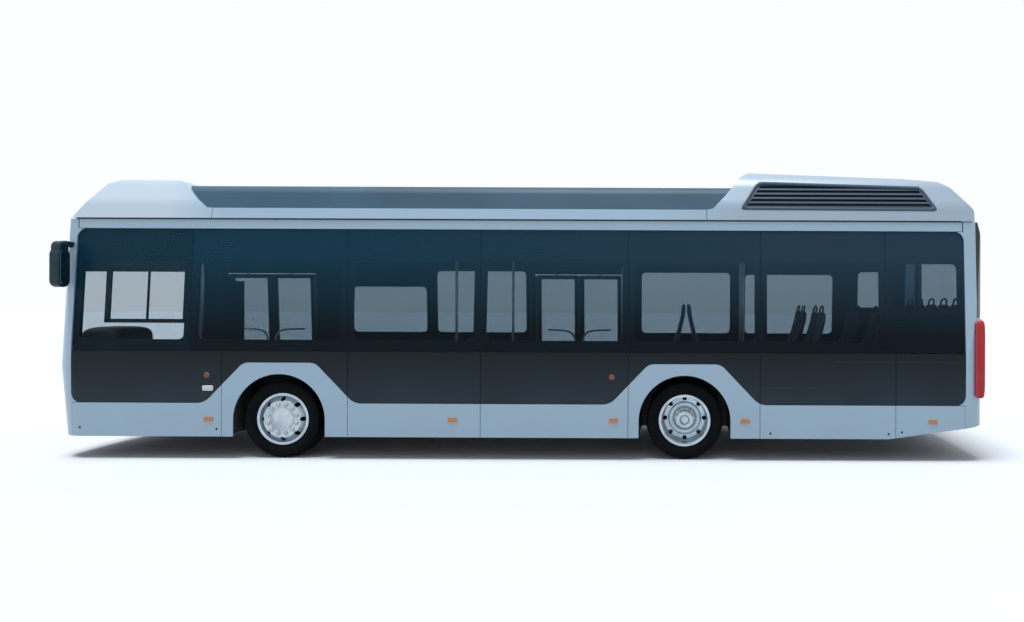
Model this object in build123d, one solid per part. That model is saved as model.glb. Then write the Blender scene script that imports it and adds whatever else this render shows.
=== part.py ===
from build123d import *
from functools import lru_cache
import math
import os

os.makedirs("parts", exist_ok=True)

# Main sizes of the bus in millimetres
LENGTH = 10800.0
WIDTH = 2500.0
SKIRT_Z = 255.0
TAIL_Z = 410.0
WAIST_Z = 1230.0
ROOF_Z = 2745.0
TUMBLEHOME = 100.0
FRONT_OVERHANG = 2690.0
WHEELBASE = 4630.0
HUB_Z = 445.0
HALF = WIDTH / 2
FAR = 2 * WIDTH
SEAM = 6.0
FIT = 0.1
SEAT_GAP = 0.3

# Lengthwise places are counted back from the front of the body
FRONT_X = -LENGTH / 2
FRONT_AXLE = FRONT_OVERHANG
REAR_AXLE = FRONT_OVERHANG + WHEELBASE

# Body shell layers, from the outside inward
SKIN = 14.0
WALL = 60.0
LAYER_GAP = 0.5
FRONT_BOW = 90.0
REAR_BOW = 60.0
FRONT_CORNER = 300.0
REAR_CORNER = 220.0
LEAN_Z = 1060.0
LEAN_UP = 0.058
LEAN_DOWN = -0.094
TAIL_ROOM = 500.0

# Side outline of the body: distance behind the front, height
PROFILE = (
    (75, SKIRT_Z), (9655, SKIRT_Z), (10750, TAIL_Z), (LENGTH, 800), (LENGTH, 1750), (10770, 2400),
    (10690, ROOF_Z), (190, ROOF_Z), (22, 2420), (0, 1900), (0, 900), (30, 330),
)

# Window band, waist panels, skirts and wheel arch surrounds
BAND_FRONT = 318.0
BAND_REAR = 10524.0
BAND_TOP = 2632.0
BAND_R = 110.0
SKIRT_TOP = 637.0
ARCH_R = 525.0
SURROUND_TOP = 1100.0
SURROUND_HALF_TOP = 410.0
SURROUND_HALF_FOOT = 854.0
SURROUND_R_TOP = 150.0
SURROUND_R_FOOT = 200.0
SKIRT_JOINTS = (BAND_FRONT, 2035, 3473, 4988, 6674, 8181, 9731, BAND_REAR)
GLASS_JOINTS = (BAND_FRONT, 1651, 3437, 4968, 6669, 8191, 9621, BAND_REAR)
PANE = 8.0
SILL_Z = 1360.0
REAR_SILL = 1745.0
LIGHT_TOP = 2260.0
PILLAR_HALF = 70.0
LIGHT_R = 60.0

# Right window openings: start, end, foot, top; and the joints of the panes between them
RIGHT_LIGHTS = (
    (2468, 3552, SILL_Z, 2020), (3698, 5003, SILL_Z, 2250), (6687, 7976, SILL_Z, 2240),
    (8195, 9472, SILL_Z, 2215), (9837, 10300, REAR_SILL, LIGHT_TOP),
)
RIGHT_JOINTS = (3625.0, 8085.0, 9654.0)

# Doors on the right side, two leaves each
DOORS = (("front_door", 1292.0), ("mid_door", 5775.0))
DOOR_HALF = 640.0
FLOOR_Z = 340.0
LEAF_FOOT = FLOOR_Z + 36
LEAF_TOP = 2200.0
DOOR_TOP = LEAF_TOP + 6
PILLAR_TOP = LEAF_TOP + 32
LEAF_THICK = 35.0
LEAF_RIM = 62.0
LEAF_INSET = 3.0
PILLAR_BACK = 48.0
PILLAR_Y = 1100.0
PILLAR_R = 18.0
LEAF_START = 70.0
MEETING_GAP = 8.0
ARM_THICK = 16.0
ARM_HALF = 13.0
ARM_CLEAR = 6.0
PIN_R = 8.0
LEAF_REACH = PILLAR_BACK + DOOR_HALF - MEETING_GAP
LEAF_OUT = HALF - LEAF_INSET - PILLAR_Y
PILLAR_CLEAR = PILLAR_R + 7
LINK_R = (LEAF_REACH ** 2 + LEAF_OUT ** 2 - PILLAR_CLEAR ** 2) / (2 * (LEAF_REACH - PILLAR_CLEAR))


def at(s):
    """Lengthwise place in the shared frame, from a distance behind the front."""
    return FRONT_X + s


def along_y(face, low, high):
    """Prism of a side outline, between two places across the bus."""
    plane = Plane(origin=(0, high, 0), x_dir=(1, 0, 0), z_dir=(0, -1, 0))
    return extrude(plane * face, amount=high - low, dir=(0, -1, 0))


def along_x(face, low, high):
    """Prism of a cross outline, between two places along the bus."""
    plane = Plane(origin=(at(low), 0, 0), x_dir=(0, 1, 0), z_dir=(1, 0, 0))
    return extrude(plane * face, amount=high - low, dir=(1, 0, 0))


def along_z(face, low, high):
    """Prism of a plan outline, between two heights."""
    return extrude(Plane.XY.offset(low) * face, amount=high - low, dir=(0, 0, 1))


def outline(points):
    """Side outline from distances behind the front and heights."""
    return Polygon(*[(at(s), z) for s, z in points], align=None)


def panel(s0, s1, z0, z1):
    """Plain rectangle in the side view."""
    return outline(((s0, z0), (s1, z0), (s1, z1), (s0, z1)))


def cross(points):
    """Cross outline from places across the bus and heights."""
    return Polygon(*points, align=None)


def opening(y0, y1, z0, z1, radius):
    """Rounded rectangle in the front or rear view."""
    face = cross(((y0, z0), (y1, z0), (y1, z1), (y0, z1)))
    return fillet(face.vertices(), radius)


def block(s0, s1, y0, y1, z0, z1):
    """Plain block between two places along, across and up."""
    return Pos(at((s0 + s1) / 2), (y0 + y1) / 2, (z0 + z1) / 2) * Box(s1 - s0, y1 - y0, z1 - z0)


def post(s, y, z0, z1, radius):
    """Upright round bar."""
    return Pos(at(s), y, (z0 + z1) / 2) * Cylinder(radius, z1 - z0)


def crossbar(s, z, y0, y1, radius):
    """Round bar lying across the bus."""
    return Pos(at(s), (y0 + y1) / 2, z) * Rot(90, 0, 0) * Cylinder(radius, abs(y1 - y0))


def group(*shapes):
    """One node of separate solids."""
    return Compound([solid for shape in shapes for solid in shape.solids()])


def save(shape, name):
    """Write one node."""
    export_step(shape, "parts/" + name + ".step")


def shrunk(face, inset):
    """Outline moved inward by an even distance."""
    if inset == 0:
        return face
    return offset(face, amount=-inset, kind=Kind.INTERSECTION)


def plan_outline(tail):
    """Plan of the body with bowed ends and round corners, the tail carried further back."""
    x_front = at(0)
    x_rear = at(LENGTH) + tail
    edges = [
        ThreePointArc((x_front + FRONT_BOW, HALF), (x_front, 0), (x_front + FRONT_BOW, -HALF)),
        Line((x_front + FRONT_BOW, -HALF), (x_rear - REAR_BOW, -HALF)),
        ThreePointArc((x_rear - REAR_BOW, -HALF), (x_rear, 0), (x_rear - REAR_BOW, HALF)),
        Line((x_rear - REAR_BOW, HALF), (x_front + FRONT_BOW, HALF)),
    ]
    plan = make_face(edges)
    plan = fillet([v for v in plan.vertices() if v.X < 0], FRONT_CORNER)
    return fillet([v for v in plan.vertices() if v.X > x_rear - 2 * REAR_BOW], REAR_CORNER)


def leaning(plan, slope):
    """Prism of a plan outline that leans along the bus, in its true place at the lean height."""
    start = Pos(-slope * ROOF_Z, 0, LEAN_Z - ROOF_Z) * plan
    return extrude(start, amount=2 * ROOF_Z * math.hypot(1, slope), dir=(slope, 0, 1))


@lru_cache(maxsize=None)
def body(inset):
    """Whole body form, moved inward by an inset: side, cross and plan outlines meet."""
    side = along_y(shrunk(outline(PROFILE), inset), -FAR, FAR)
    top = HALF - TUMBLEHOME
    section = cross((
        (-HALF, 0), (HALF, 0), (HALF, WAIST_Z), (top, ROOF_Z), (top, ROOF_Z + WAIST_Z),
        (-top, ROOF_Z + WAIST_Z), (-top, ROOF_Z), (-HALF, WAIST_Z),
    ))
    lengthwise = along_x(shrunk(section, inset), -WIDTH, LENGTH + WIDTH)
    form = side & lengthwise & along_z(shrunk(plan_outline(0), inset), 0, ROOF_Z + WAIST_Z)
    for slope in (LEAN_UP, LEAN_DOWN):
        form = form & leaning(shrunk(plan_outline(TAIL_ROOM), inset), slope)
    return form


def arch(axle):
    """Wheel arch cut-out: round over the hub, straight below it."""
    round_top = Pos(at(axle), HUB_Z) * Circle(ARCH_R)
    return round_top + panel(axle - ARCH_R, axle + ARCH_R, 0, HUB_Z)


def skirt_face(grow):
    """Skirt with its raised arch surrounds, before the arches are cut."""
    top = SKIRT_TOP + grow
    crown = SURROUND_TOP + grow
    foot = SURROUND_HALF_FOOT + grow / 2
    head = SURROUND_HALF_TOP + grow / 2
    points = [(BAND_FRONT, 0), (BAND_REAR, 0), (BAND_REAR, top)]
    for axle in (REAR_AXLE, FRONT_AXLE):
        points += [(axle + foot, top), (axle + head, crown), (axle - head, crown), (axle - foot, top)]
    points += [(BAND_FRONT, top)]
    face = outline(points)
    crowns = [v for v in face.vertices() if v.Y > crown - 1]
    face = fillet(crowns, SURROUND_R_TOP)
    ends = (at(BAND_FRONT) + 1, at(BAND_REAR) - 1)
    feet = [v for v in face.vertices() if abs(v.Y - top) < 1 and ends[0] < v.X < ends[1]]
    return fillet(feet, SURROUND_R_FOOT)


def band_face():
    """Dark window band with rounded ends, over the full band height."""
    face = panel(BAND_FRONT, BAND_REAR, SKIRT_TOP + SEAM, BAND_TOP)
    return fillet(face.vertices(), BAND_R)


def bays(face, joints, z0, z1):
    """Cut a side face into bays with an open seam at each joint."""
    cut = []
    for s0, s1 in zip(joints[:-1], joints[1:]):
        cut.append(face & panel(s0 + SEAM / 2, s1 - SEAM / 2, z0, z1))
    return cut


def prisms(faces, low, high):
    """Prisms of several side faces."""
    return [along_y(face, low, high) for face in faces]


def cut_by(layer, tools):
    """Pieces of a body layer inside several prisms."""
    return [layer & tool for tool in tools]


SIDE_MIN = 900.0


def layer(outer, inner):
    """Body shell between two insets, open below."""
    core = body(inner)
    return body(outer) - core - Pos(0, 0, -4 * WALL) * core


BODY = body(0)
OUTER_SKIN = layer(0, SKIN)
GLASS_SKIN = layer(SKIN - PANE, SKIN)
WALL_LAYER = layer(SKIN + LAYER_GAP, WALL)
MASK_LAYER = layer(0, WALL)
DOOR_LAYER = layer(LEAF_INSET, LEAF_INSET + LEAF_THICK)
LEAF_PANE = layer(LEAF_INSET + 4, LEAF_INSET + 4 + PANE)


def doorways(grow):
    """Clear spaces of both doorways through the right side."""
    spaces = []
    for name, middle in DOORS:
        half = DOOR_HALF + grow
        spaces.append(block(middle - half, middle + half, HALF - 4 * WALL, FAR, 0, DOOR_TOP + grow))
    return spaces


def without(shapes, tools):
    """Take every tool out of every shape."""
    left = []
    for shape in shapes:
        for tool in tools:
            shape = shape - tool
        left.append(shape)
    return left


def side_skirts():
    """Pale skirt panels with the wheel arch surrounds, both sides."""
    face = skirt_face(0) - arch(FRONT_AXLE) - arch(REAR_AXLE)
    faces = bays(face, SKIRT_JOINTS, 0, WAIST_Z)
    near = cut_by(OUTER_SKIN, prisms(faces, -FAR, -SIDE_MIN))
    far = cut_by(OUTER_SKIN, prisms(faces, SIDE_MIN, FAR))
    return group(*near, *without(far, doorways(SEAM)))


def waist_bands():
    """Dark panels between the skirts and the glass, both sides."""
    face = band_face() - skirt_face(SEAM)
    faces = bays(face, SKIRT_JOINTS, 0, WAIST_Z - SEAM / 2)
    near = cut_by(OUTER_SKIN, prisms(faces, -FAR, -SIDE_MIN))
    far = cut_by(OUTER_SKIN, prisms(faces, SIDE_MIN, FAR))
    return group(*near, *without(far, doorways(SEAM)))


def right_joints():
    """Joints of the right panes: at the door jambs and behind the pillars."""
    joints = [BAND_FRONT, *RIGHT_JOINTS, BAND_REAR]
    for name, middle in DOORS:
        joints += [middle - DOOR_HALF - SEAM, middle + DOOR_HALF + SEAM]
    return sorted(joints)


def side_glazing():
    """Glass panes with thin joints, both sides."""
    left = bays(band_face(), GLASS_JOINTS, WAIST_Z + SEAM / 2, BAND_TOP)
    right = bays(band_face(), right_joints(), WAIST_Z + SEAM / 2, BAND_TOP)
    near = cut_by(GLASS_SKIN, prisms(left, -FAR, -SIDE_MIN))
    far = cut_by(GLASS_SKIN, prisms(right, SIDE_MIN, FAR))
    return group(*near, *without(far, doorways(SEAM)))


def left_lights():
    """Clear window openings behind the left panes, one in each bay."""
    faces = []
    for s0, s1 in zip(GLASS_JOINTS[:-1], GLASS_JOINTS[1:]):
        foot = REAR_SILL if s1 == BAND_REAR else SILL_Z
        face = panel(s0 + PILLAR_HALF, s1 - PILLAR_HALF, foot, LIGHT_TOP)
        faces.append(fillet(face.vertices(), LIGHT_R))
    return faces


def right_lights():
    """Clear window openings behind the right panes, between the doors."""
    faces = []
    for s0, s1, foot, top in RIGHT_LIGHTS:
        faces.append(fillet(panel(s0, s1, foot, top).vertices(), LIGHT_R))
    return faces


def wheel_space(axle, half, inner, top):
    """Room kept free for the wheels of one axle, both sides."""
    near = block(axle - half, axle + half, -FAR, -inner, 0, top)
    return near + block(axle - half, axle + half, inner, FAR, 0, top)


WALL_FRONT = BAND_FRONT + SEAT_GAP
WALL_REAR = BAND_REAR - SEAT_GAP
WALL_FOOT = 285.0
ROOF_FOOT = BAND_TOP + SEAM
FRONT_WELL = (FRONT_AXLE, 545.0, 575.0, 965.0)
REAR_WELL = (REAR_AXLE, 525.0, 560.0, 965.0)
WELL_WALL = 6.0


def wall_edges():
    """Lengthwise limits of the side frames: at the wheel boxes of both axles."""
    edges = [WALL_FRONT]
    for axle, half, inner, top in (FRONT_WELL, REAR_WELL):
        edges += [axle - half - WELL_WALL - 1, axle + half + WELL_WALL + 1]
    return edges + [WALL_REAR]


def wall_lengths(wall, edges, feet):
    """Cut a side frame into lengths, each with its own foot height."""
    pieces = []
    for s0, s1, foot in zip(edges[:-1], edges[1:], feet):
        pieces.append(wall & block(s0 + SEAT_GAP / 2, s1 - SEAT_GAP / 2, -FAR, FAR, foot, ROOF_Z))
    return pieces


def side_wall(low, high, window_faces):
    """Body side frame with its window openings."""
    face = panel(WALL_FRONT, WALL_REAR, WALL_FOOT, ROOF_FOOT - SEAT_GAP)
    wall = WALL_LAYER & along_y(face, low, high)
    for light in prisms(window_faces, low, high):
        wall = wall - light
    return wall


WELL_HEAD = FRONT_WELL[3] + WELL_WALL + 1


def left_wall():
    """Left body side frame, in lengths between and over the wheel boxes."""
    wall = side_wall(-FAR, -SIDE_MIN, left_lights())
    return group(*wall_lengths(wall, wall_edges(), (0, WELL_HEAD, 0, WELL_HEAD, 0)))


def right_wall():
    """Right body side frame, also parted at the doorways, with headers over the doors."""
    wall = side_wall(SIDE_MIN, FAR, right_lights())
    edges = wall_edges()
    front, middle = [(place - DOOR_HALF, place + DOOR_HALF) for name, place in DOORS]
    edges = [edges[0], *front, edges[1], edges[2], *middle, edges[3], edges[4], edges[5]]
    return group(*wall_lengths(wall, edges, (0, DOOR_TOP, 0, WELL_HEAD, 0, DOOR_TOP, 0, WELL_HEAD, 0)))


# Front mask with the windscreen, rear mask with the rear window and service hatch
SCREEN = (-1120.0, 1120.0, 980.0, 2600.0, 140.0)
REAR_LIGHT = (-1105.0, 1105.0, 1670.0, 2640.0, 90.0)
HATCH = (-860.0, 860.0, 560.0, 1560.0, 70.0)
FRONT_PART_Y = 650.0
REAR_PART_Y = 800.0
HATCH_GAP = 6.0
HATCH_INSET = 12.0
HATCH_THICK = 30.0
PANE_INSET = 3.0
FLANGE = 40.0
HINGE_Y = 500.0
HINGE_HALF = 40.0
HINGE_R = 8.0
HINGE_S = LENGTH - 8
HINGE_Z = 1556.0
FRONT_RETURN = 480.0
REAR_RETURN = LENGTH - 420.0
HEADLAMP = (700.0, 1130.0, 640.0, 800.0, 60.0)
TAIL_LAMP = (1010.0, 1300.0, 700.0, 1630.0)
TAIL_LAMP_S = 10640.0
LAMP_DEPTH = 40.0
LAMP_PROUD = 26.0


def pockets(shape, outline_box, low, high):
    """Prisms of one rounded opening on the left and right of the middle."""
    y0, y1, z0, z1, radius = outline_box
    right = along_x(opening(y0, y1, z0, z1, radius), low, high)
    return shape - right - mirror(right, about=Plane.XZ)


def end_region(s0, s1, joint, sense):
    """Side view area of one end mask, round the end of the window band."""
    face = panel(s0, s1, 0, ROOF_Z + 1) - shrunk(band_face(), -SEAM)
    if sense < 0:
        cut = (joint - SEAM, s1)
    else:
        cut = (s0, joint + SEAM)
    return face - panel(cut[0], cut[1], 0, SKIRT_TOP + SEAM) - panel(cut[0], cut[1], BAND_TOP, ROOF_Z + 1)


def rebated(mask, frame, low, high):
    """Cut a window opening with a flange behind the pane."""
    y0, y1, z0, z1, radius = frame
    step = layer(0, PANE_INSET + PANE + SEAT_GAP) & along_x(opening(*frame), low, high)
    lip = FLANGE
    clear = opening(y0 + lip, y1 - lip, z0 + lip, z1 - lip, radius - lip)
    return mask - step - along_x(clear, low, high)


def parted(mask, y):
    """Part a mask into a middle and two corner mouldings, with fine joints."""
    half = SEAT_GAP / 2
    for place in (-y, y):
        mask = mask - block(-WIDTH, LENGTH + WIDTH, place - half, place + half, 0, 2 * ROOF_Z)
    return mask


def front_mask():
    """Painted front of the body round the windscreen and headlamps."""
    region = end_region(-WIDTH, FRONT_RETURN, BAND_FRONT + SEAM, -1)
    mask = MASK_LAYER & along_y(region, -FAR, FAR)
    mask = mask - (body(SKIN) & block(BAND_FRONT, FRONT_RETURN, -FAR, FAR, 0, ROOF_Z))
    mask = rebated(mask, SCREEN, -WIDTH, FRONT_RETURN)
    mask = pockets(mask, HEADLAMP, -WIDTH, FRONT_RETURN)
    return parted(mask, FRONT_PART_Y)


def windscreen():
    """Curved windscreen pane set in the front mask."""
    y0, y1, z0, z1, radius = SCREEN
    pane = opening(y0 + SEAM, y1 - SEAM, z0 + SEAM, z1 - SEAM, radius - SEAM)
    return layer(PANE_INSET, PANE_INSET + PANE) & along_x(pane, -WIDTH, FRONT_RETURN)


def headlamps():
    """Lamp clusters in the lower front corners."""
    y0, y1, z0, z1, radius = HEADLAMP
    gap = SEAT_GAP
    lens = opening(y0 + gap, y1 - gap, z0 + gap, z1 - gap, radius - gap)
    right = layer(2, LAMP_DEPTH) & along_x(lens, -WIDTH, FRONT_RETURN)
    return group(right, mirror(right, about=Plane.XZ))


def rear_mask():
    """Painted rear of the body round the rear window, hatch and tail lamps."""
    region = end_region(REAR_RETURN, LENGTH + WIDTH, BAND_REAR - SEAM, 1)
    mask = MASK_LAYER & along_y(region, -FAR, FAR)
    mask = mask - (body(SKIN) & block(REAR_RETURN, BAND_REAR, -FAR, FAR, 0, ROOF_Z))
    mask = rebated(mask, REAR_LIGHT, REAR_RETURN, LENGTH + WIDTH)
    mask = mask - along_x(opening(*HATCH), REAR_RETURN, LENGTH + WIDTH)
    lamp = tail_lamp_space(0)
    mask = mask - lamp - mirror(lamp, about=Plane.XZ)
    for y in (-HINGE_Y, HINGE_Y):
        half = HINGE_HALF + SEAT_GAP
        mask = mask - crossbar(HINGE_S, HINGE_Z, y - half, y + half, HINGE_R + 5)
        for low, high in ((y - half - 30, y - half), (y + half, y + half + 30)):
            knuckle_bar = crossbar(HINGE_S, HINGE_Z, low, high, HINGE_R)
            leaf = block(HINGE_S - 25, HINGE_S, low, high, HINGE_Z, HINGE_Z + 20)
            mask = mask + knuckle_bar + leaf
    return parted(mask, REAR_PART_Y)


def tail_lamp_space(inset):
    """Upright corner space of one tail lamp."""
    y0, y1, z0, z1 = TAIL_LAMP
    face = cross(((y0 + inset, z0 + inset), (y1, z0 + 60 + inset), (y1, z1 - 60 - inset), (y0 + inset, z1 - inset)))
    return along_x(face, TAIL_LAMP_S + inset, LENGTH + WIDTH)


def tail_lamps():
    """Red lamp columns on both rear corners, standing a little proud."""
    right = (body(-LAMP_PROUD) - body(LAMP_DEPTH)) & tail_lamp_space(SEAT_GAP)
    return group(right, mirror(right, about=Plane.XZ))


def rear_window():
    """Rear window pane."""
    y0, y1, z0, z1, radius = REAR_LIGHT
    pane = opening(y0 + SEAM, y1 - SEAM, z0 + SEAM, z1 - SEAM, radius - SEAM)
    return layer(PANE_INSET, PANE_INSET + PANE) & along_x(pane, REAR_RETURN, LENGTH + WIDTH)


def rear_hatch():
    """Service hatch over the drive compartment, hinged along its top edge."""
    y0, y1, z0, z1, radius = HATCH
    gap = HATCH_GAP
    leaf = opening(y0 + gap, y1 - gap, z0 + gap, z1 - gap, radius - gap)
    hatch = layer(HATCH_INSET, HATCH_INSET + HATCH_THICK) & along_x(leaf, REAR_RETURN, LENGTH + WIDTH)
    for y in (-HINGE_Y, HINGE_Y):
        barrel = crossbar(HINGE_S, HINGE_Z, y - HINGE_HALF, y + HINGE_HALF, HINGE_R)
        strap = block(HINGE_S - 25, HINGE_S, y - HINGE_HALF, y + HINGE_HALF, HINGE_Z - 24, HINGE_Z)
        hatch = hatch + barrel + strap
    return hatch


# Roof panel, fairings, tank cowl and grilles
ROOF_FRONT = 330.0
ROOF_REAR = 10512.0
STRIP_TOP = 2880.0
FAIRING_GAP = 9.0
PLINTH_HALF = 1110.0
PLINTH_FRONT = 340.0
PLINTH_REAR = 10480.0
FAIRING_WALL = 25.0
FAIRING_FOOT = ROOF_Z + FAIRING_GAP
FAIRING_HALF = HALF - TUMBLEHOME + 8
FAIRING_R = 400.0
STRIP_S = (1850.0, 7570.0)
STRIP_WIDE = 60.0

# Half cross outline of the roof: distance in from the foot, height
FAIRING_SIDE = ((0, FAIRING_FOOT), (45, 2950), (190, 3230), (420, 3420))

# Side outlines of the fairings: distance behind the front, height
FRONT_FAIRING = (
    (250, FAIRING_FOOT), (STRIP_S[0], FAIRING_FOOT), (STRIP_S[0], STRIP_TOP), (1770, STRIP_TOP + 5), (1640, 2985),
    (1440, 3190), (1375, 3222), (690, 3222), (549, 3180), (274, 2800),
)
REAR_FAIRING = (
    (STRIP_S[1], FAIRING_FOOT), (10715, FAIRING_FOOT), (10690, 2850), (10430, 3160), (10300, 3240), (9900, 3280),
    (8060, 3358), (7975, 3305), (7790, 3060), (7640, STRIP_TOP + 15), (STRIP_S[1], STRIP_TOP),
)
FAIRING_FRONT_R = 330.0
GRILLE_FOOT = 2893.0
GRILLE = ((7965, GRILLE_FOOT), (10235, GRILLE_FOOT), (10060, 3180), (8190, 3235))
GRILLE_SLOTS = 5
GRILLE_IN = 6.0
GRILLE_THICK = 22.0
SLOT_EDGE = 37.0
SLOT_PITCH = 55.0
SLOT_HIGH = 32.0
COWL_S = (1400.0, 8000.0)
COWL_TOP = 3170.0
COWL_R = 170.0
COWL_HALF = 1100.0
COWL_IN = 130.0
COWL_WALL = 30.0


def roof_section(half):
    """Cross outline of a roof fairing: sides round inward with height."""
    right = [(half - inset, z) for inset, z in FAIRING_SIDE]
    face = cross(right + [(-y, z) for y, z in reversed(right)])
    bends = [z for inset, z in FAIRING_SIDE[1:-1]]
    return fillet([v for v in face.vertices() if min(abs(v.Y - z) for z in bends) < 1], FAIRING_R)


def fairing_plan(inset):
    """Plan outline over the whole roof with rounded ends."""
    half = HALF - inset
    face = Pos(at(LENGTH / 2), 0) * Rectangle(LENGTH - 2 * inset - 150, 2 * half)
    return fillet(face.vertices(), FAIRING_FRONT_R)


def fairing(points, inset):
    """One roof fairing from its side outline, cross outline and plan outline."""
    side = along_y(shrunk(outline(points), inset), -FAR, FAR)
    lengthwise = along_x(roof_section(FAIRING_HALF - inset), 0, LENGTH)
    return side & lengthwise & along_z(fairing_plan(inset), ROOF_Z, 2 * ROOF_Z)


def grille_face(inset):
    """Side outline of the roof grille."""
    return shrunk(outline(GRILLE), inset)


def hollow_fairing(points):
    """Fairing shell open below."""
    return fairing(points, 0) - fairing(points, FAIRING_WALL) - core_below(points)


def core_below(points):
    """Free space between the fairing walls down to the roof."""
    core = fairing(points, FAIRING_WALL)
    return Pos(0, 0, -FAIRING_WALL - 1) * core


def roof_fairings():
    """Front and rear roof fairings and the side strips between them."""
    rear = hollow_fairing(REAR_FAIRING) - along_y(grille_face(0), -FAR, FAR)
    front = hollow_fairing(FRONT_FAIRING)
    strip = panel(STRIP_S[0] + SEAM, STRIP_S[1] - SEAM, FAIRING_FOOT, STRIP_TOP)
    right = along_x(roof_section(FAIRING_HALF), 0, LENGTH) & along_y(strip, FAIRING_HALF - STRIP_WIDE, FAR)
    return group(front, rear, right, mirror(right, about=Plane.XZ))


def roof_grilles():
    """Slotted grille plates in both sides of the rear fairing."""
    outer = along_x(roof_section(FAIRING_HALF - GRILLE_IN), 0, LENGTH)
    inner = along_x(roof_section(FAIRING_HALF - GRILLE_IN - GRILLE_THICK), 0, LENGTH)
    plate = (outer - inner) & along_y(grille_face(SEAT_GAP), 0, FAR)
    for row in range(GRILLE_SLOTS):
        z = GRILLE_FOOT + SLOT_EDGE + SLOT_PITCH * row
        slot = grille_face(SLOT_EDGE) & panel(0, LENGTH, z, z + SLOT_HIGH)
        plate = plate - along_y(slot, 0, FAR)
    return group(plate, mirror(plate, about=Plane.XZ))


def cowl_section(inset, foot):
    """Cross outline of the tank cowl, moved inward by an inset."""
    half = COWL_HALF - inset
    top = COWL_TOP - inset
    face = cross(((-half, foot), (half, foot), (half - COWL_IN, top), (COWL_IN - half, top)))
    return fillet([v for v in face.vertices() if v.Y > top - 1], COWL_R - inset)


def tank_cowl():
    """Long cowl over the hydrogen tanks between the two fairings."""
    outer = along_x(cowl_section(0, STRIP_TOP + SEAT_GAP), *COWL_S)
    inner = along_x(cowl_section(COWL_WALL, ROOF_Z), 0, LENGTH)
    grown = fairing(FRONT_FAIRING, -2 * SEAT_GAP) + fairing(REAR_FAIRING, -2 * SEAT_GAP)
    return outer - inner - grown


def roof_panel():
    """Roof with its cantrail edges."""
    roof = BODY & block(ROOF_FRONT, ROOF_REAR, -FAR, FAR, ROOF_FOOT, ROOF_Z)
    plinth = along_z(fairing_plan(HALF - PLINTH_HALF), ROOF_Z, FAIRING_FOOT - SEAT_GAP)
    return roof + (plinth & block(PLINTH_FRONT, PLINTH_REAR, -FAR, FAR, ROOF_Z, STRIP_TOP))


# Floor, wheel boxes, rear platform, underframe
FLOOR_THICK = 55.0
DRUM_R = 200.0
DRUM_CLEAR = 25.0
PLATFORM_Z = 760.0
PLATFORM_S = 6765.0
STEP_S = 6620.0
STEP_Z = 550.0
RISER_THICK = 22.0
FLOOR_FRONT = 240.0
FLOOR_REAR = 10640.0
FLOOR_HALF = HALF - WALL - SEAT_GAP


def boxed_well(well, notch):
    """Wheel boxes of one axle, welded from a top, two ends and an inner sheet notched for the axle."""
    axle, half, inner, top = well
    wall = WELL_WALL
    skin = HALF - SKIN - 2
    gap = SEAT_GAP
    foot = FLOOR_Z - FLOOR_THICK
    sheets = [
        block(axle - half - wall, axle + half + wall, inner - wall, skin, top, top + wall),
        block(axle - half - wall, axle - half, inner + gap, skin, foot, top - gap),
        block(axle + half, axle + half + wall, inner + gap, skin, foot, top - gap),
        block(axle - half - wall, axle + half + wall, inner - wall, inner, foot, top - gap),
    ]
    if notch:
        sheets[-1] = sheets[-1] - crossbar(axle, HUB_Z, inner - 2 * wall, inner + wall, notch)
    return [sheet & body(SKIN + LAYER_GAP + 1) for sheet in sheets]


def floor_limit():
    """Room inside the walls, carried down below the floor."""
    inside = body(WALL + SEAT_GAP)
    return inside + Pos(0, 0, -WALL - FLOOR_THICK) * inside


def deck(s0, s1, half, z0, z1):
    """Floor board between two places along, trimmed to the room inside the walls."""
    board = block(s0 + SEAT_GAP / 2, s1 - SEAT_GAP / 2, -half, half, z0, z1)
    return board & floor_limit()


def floor_deck():
    """Low floor from the cab to the steps, narrow between the front wheel boxes."""
    axle, half, inner, top = FRONT_WELL
    foot = FLOOR_Z - FLOOR_THICK
    near = axle - half - WELL_WALL
    far = axle + half + WELL_WALL
    return group(
        deck(FLOOR_FRONT, near, FLOOR_HALF, foot, FLOOR_Z),
        deck(near, far, inner - WELL_WALL - SEAT_GAP, foot, FLOOR_Z),
        deck(far, STEP_S, FLOOR_HALF, foot, FLOOR_Z),
    )


def wheel_boxes():
    """Wheel boxes over the front and rear wheels."""
    right = boxed_well(FRONT_WELL, 0) + boxed_well(REAR_WELL, DRUM_R + DRUM_CLEAR)
    return group(*right, *[mirror(sheet, about=Plane.XZ) for sheet in right])


def rear_platform():
    """Raised rear floor with one step and its riser, over the drive compartment."""
    axle, half, inner, top = REAR_WELL
    foot = FLOOR_Z - FLOOR_THICK
    under = PLATFORM_Z - FLOOR_THICK
    riser = PLATFORM_S + RISER_THICK
    far = axle + half + WELL_WALL
    return group(
        deck(STEP_S, PLATFORM_S, FLOOR_HALF, foot, STEP_Z),
        deck(PLATFORM_S, riser, FLOOR_HALF, foot, PLATFORM_Z),
        deck(riser, far, inner - WELL_WALL - SEAT_GAP, under, PLATFORM_Z),
        deck(far, FLOOR_REAR, FLOOR_HALF, under, PLATFORM_Z),
    )


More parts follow.
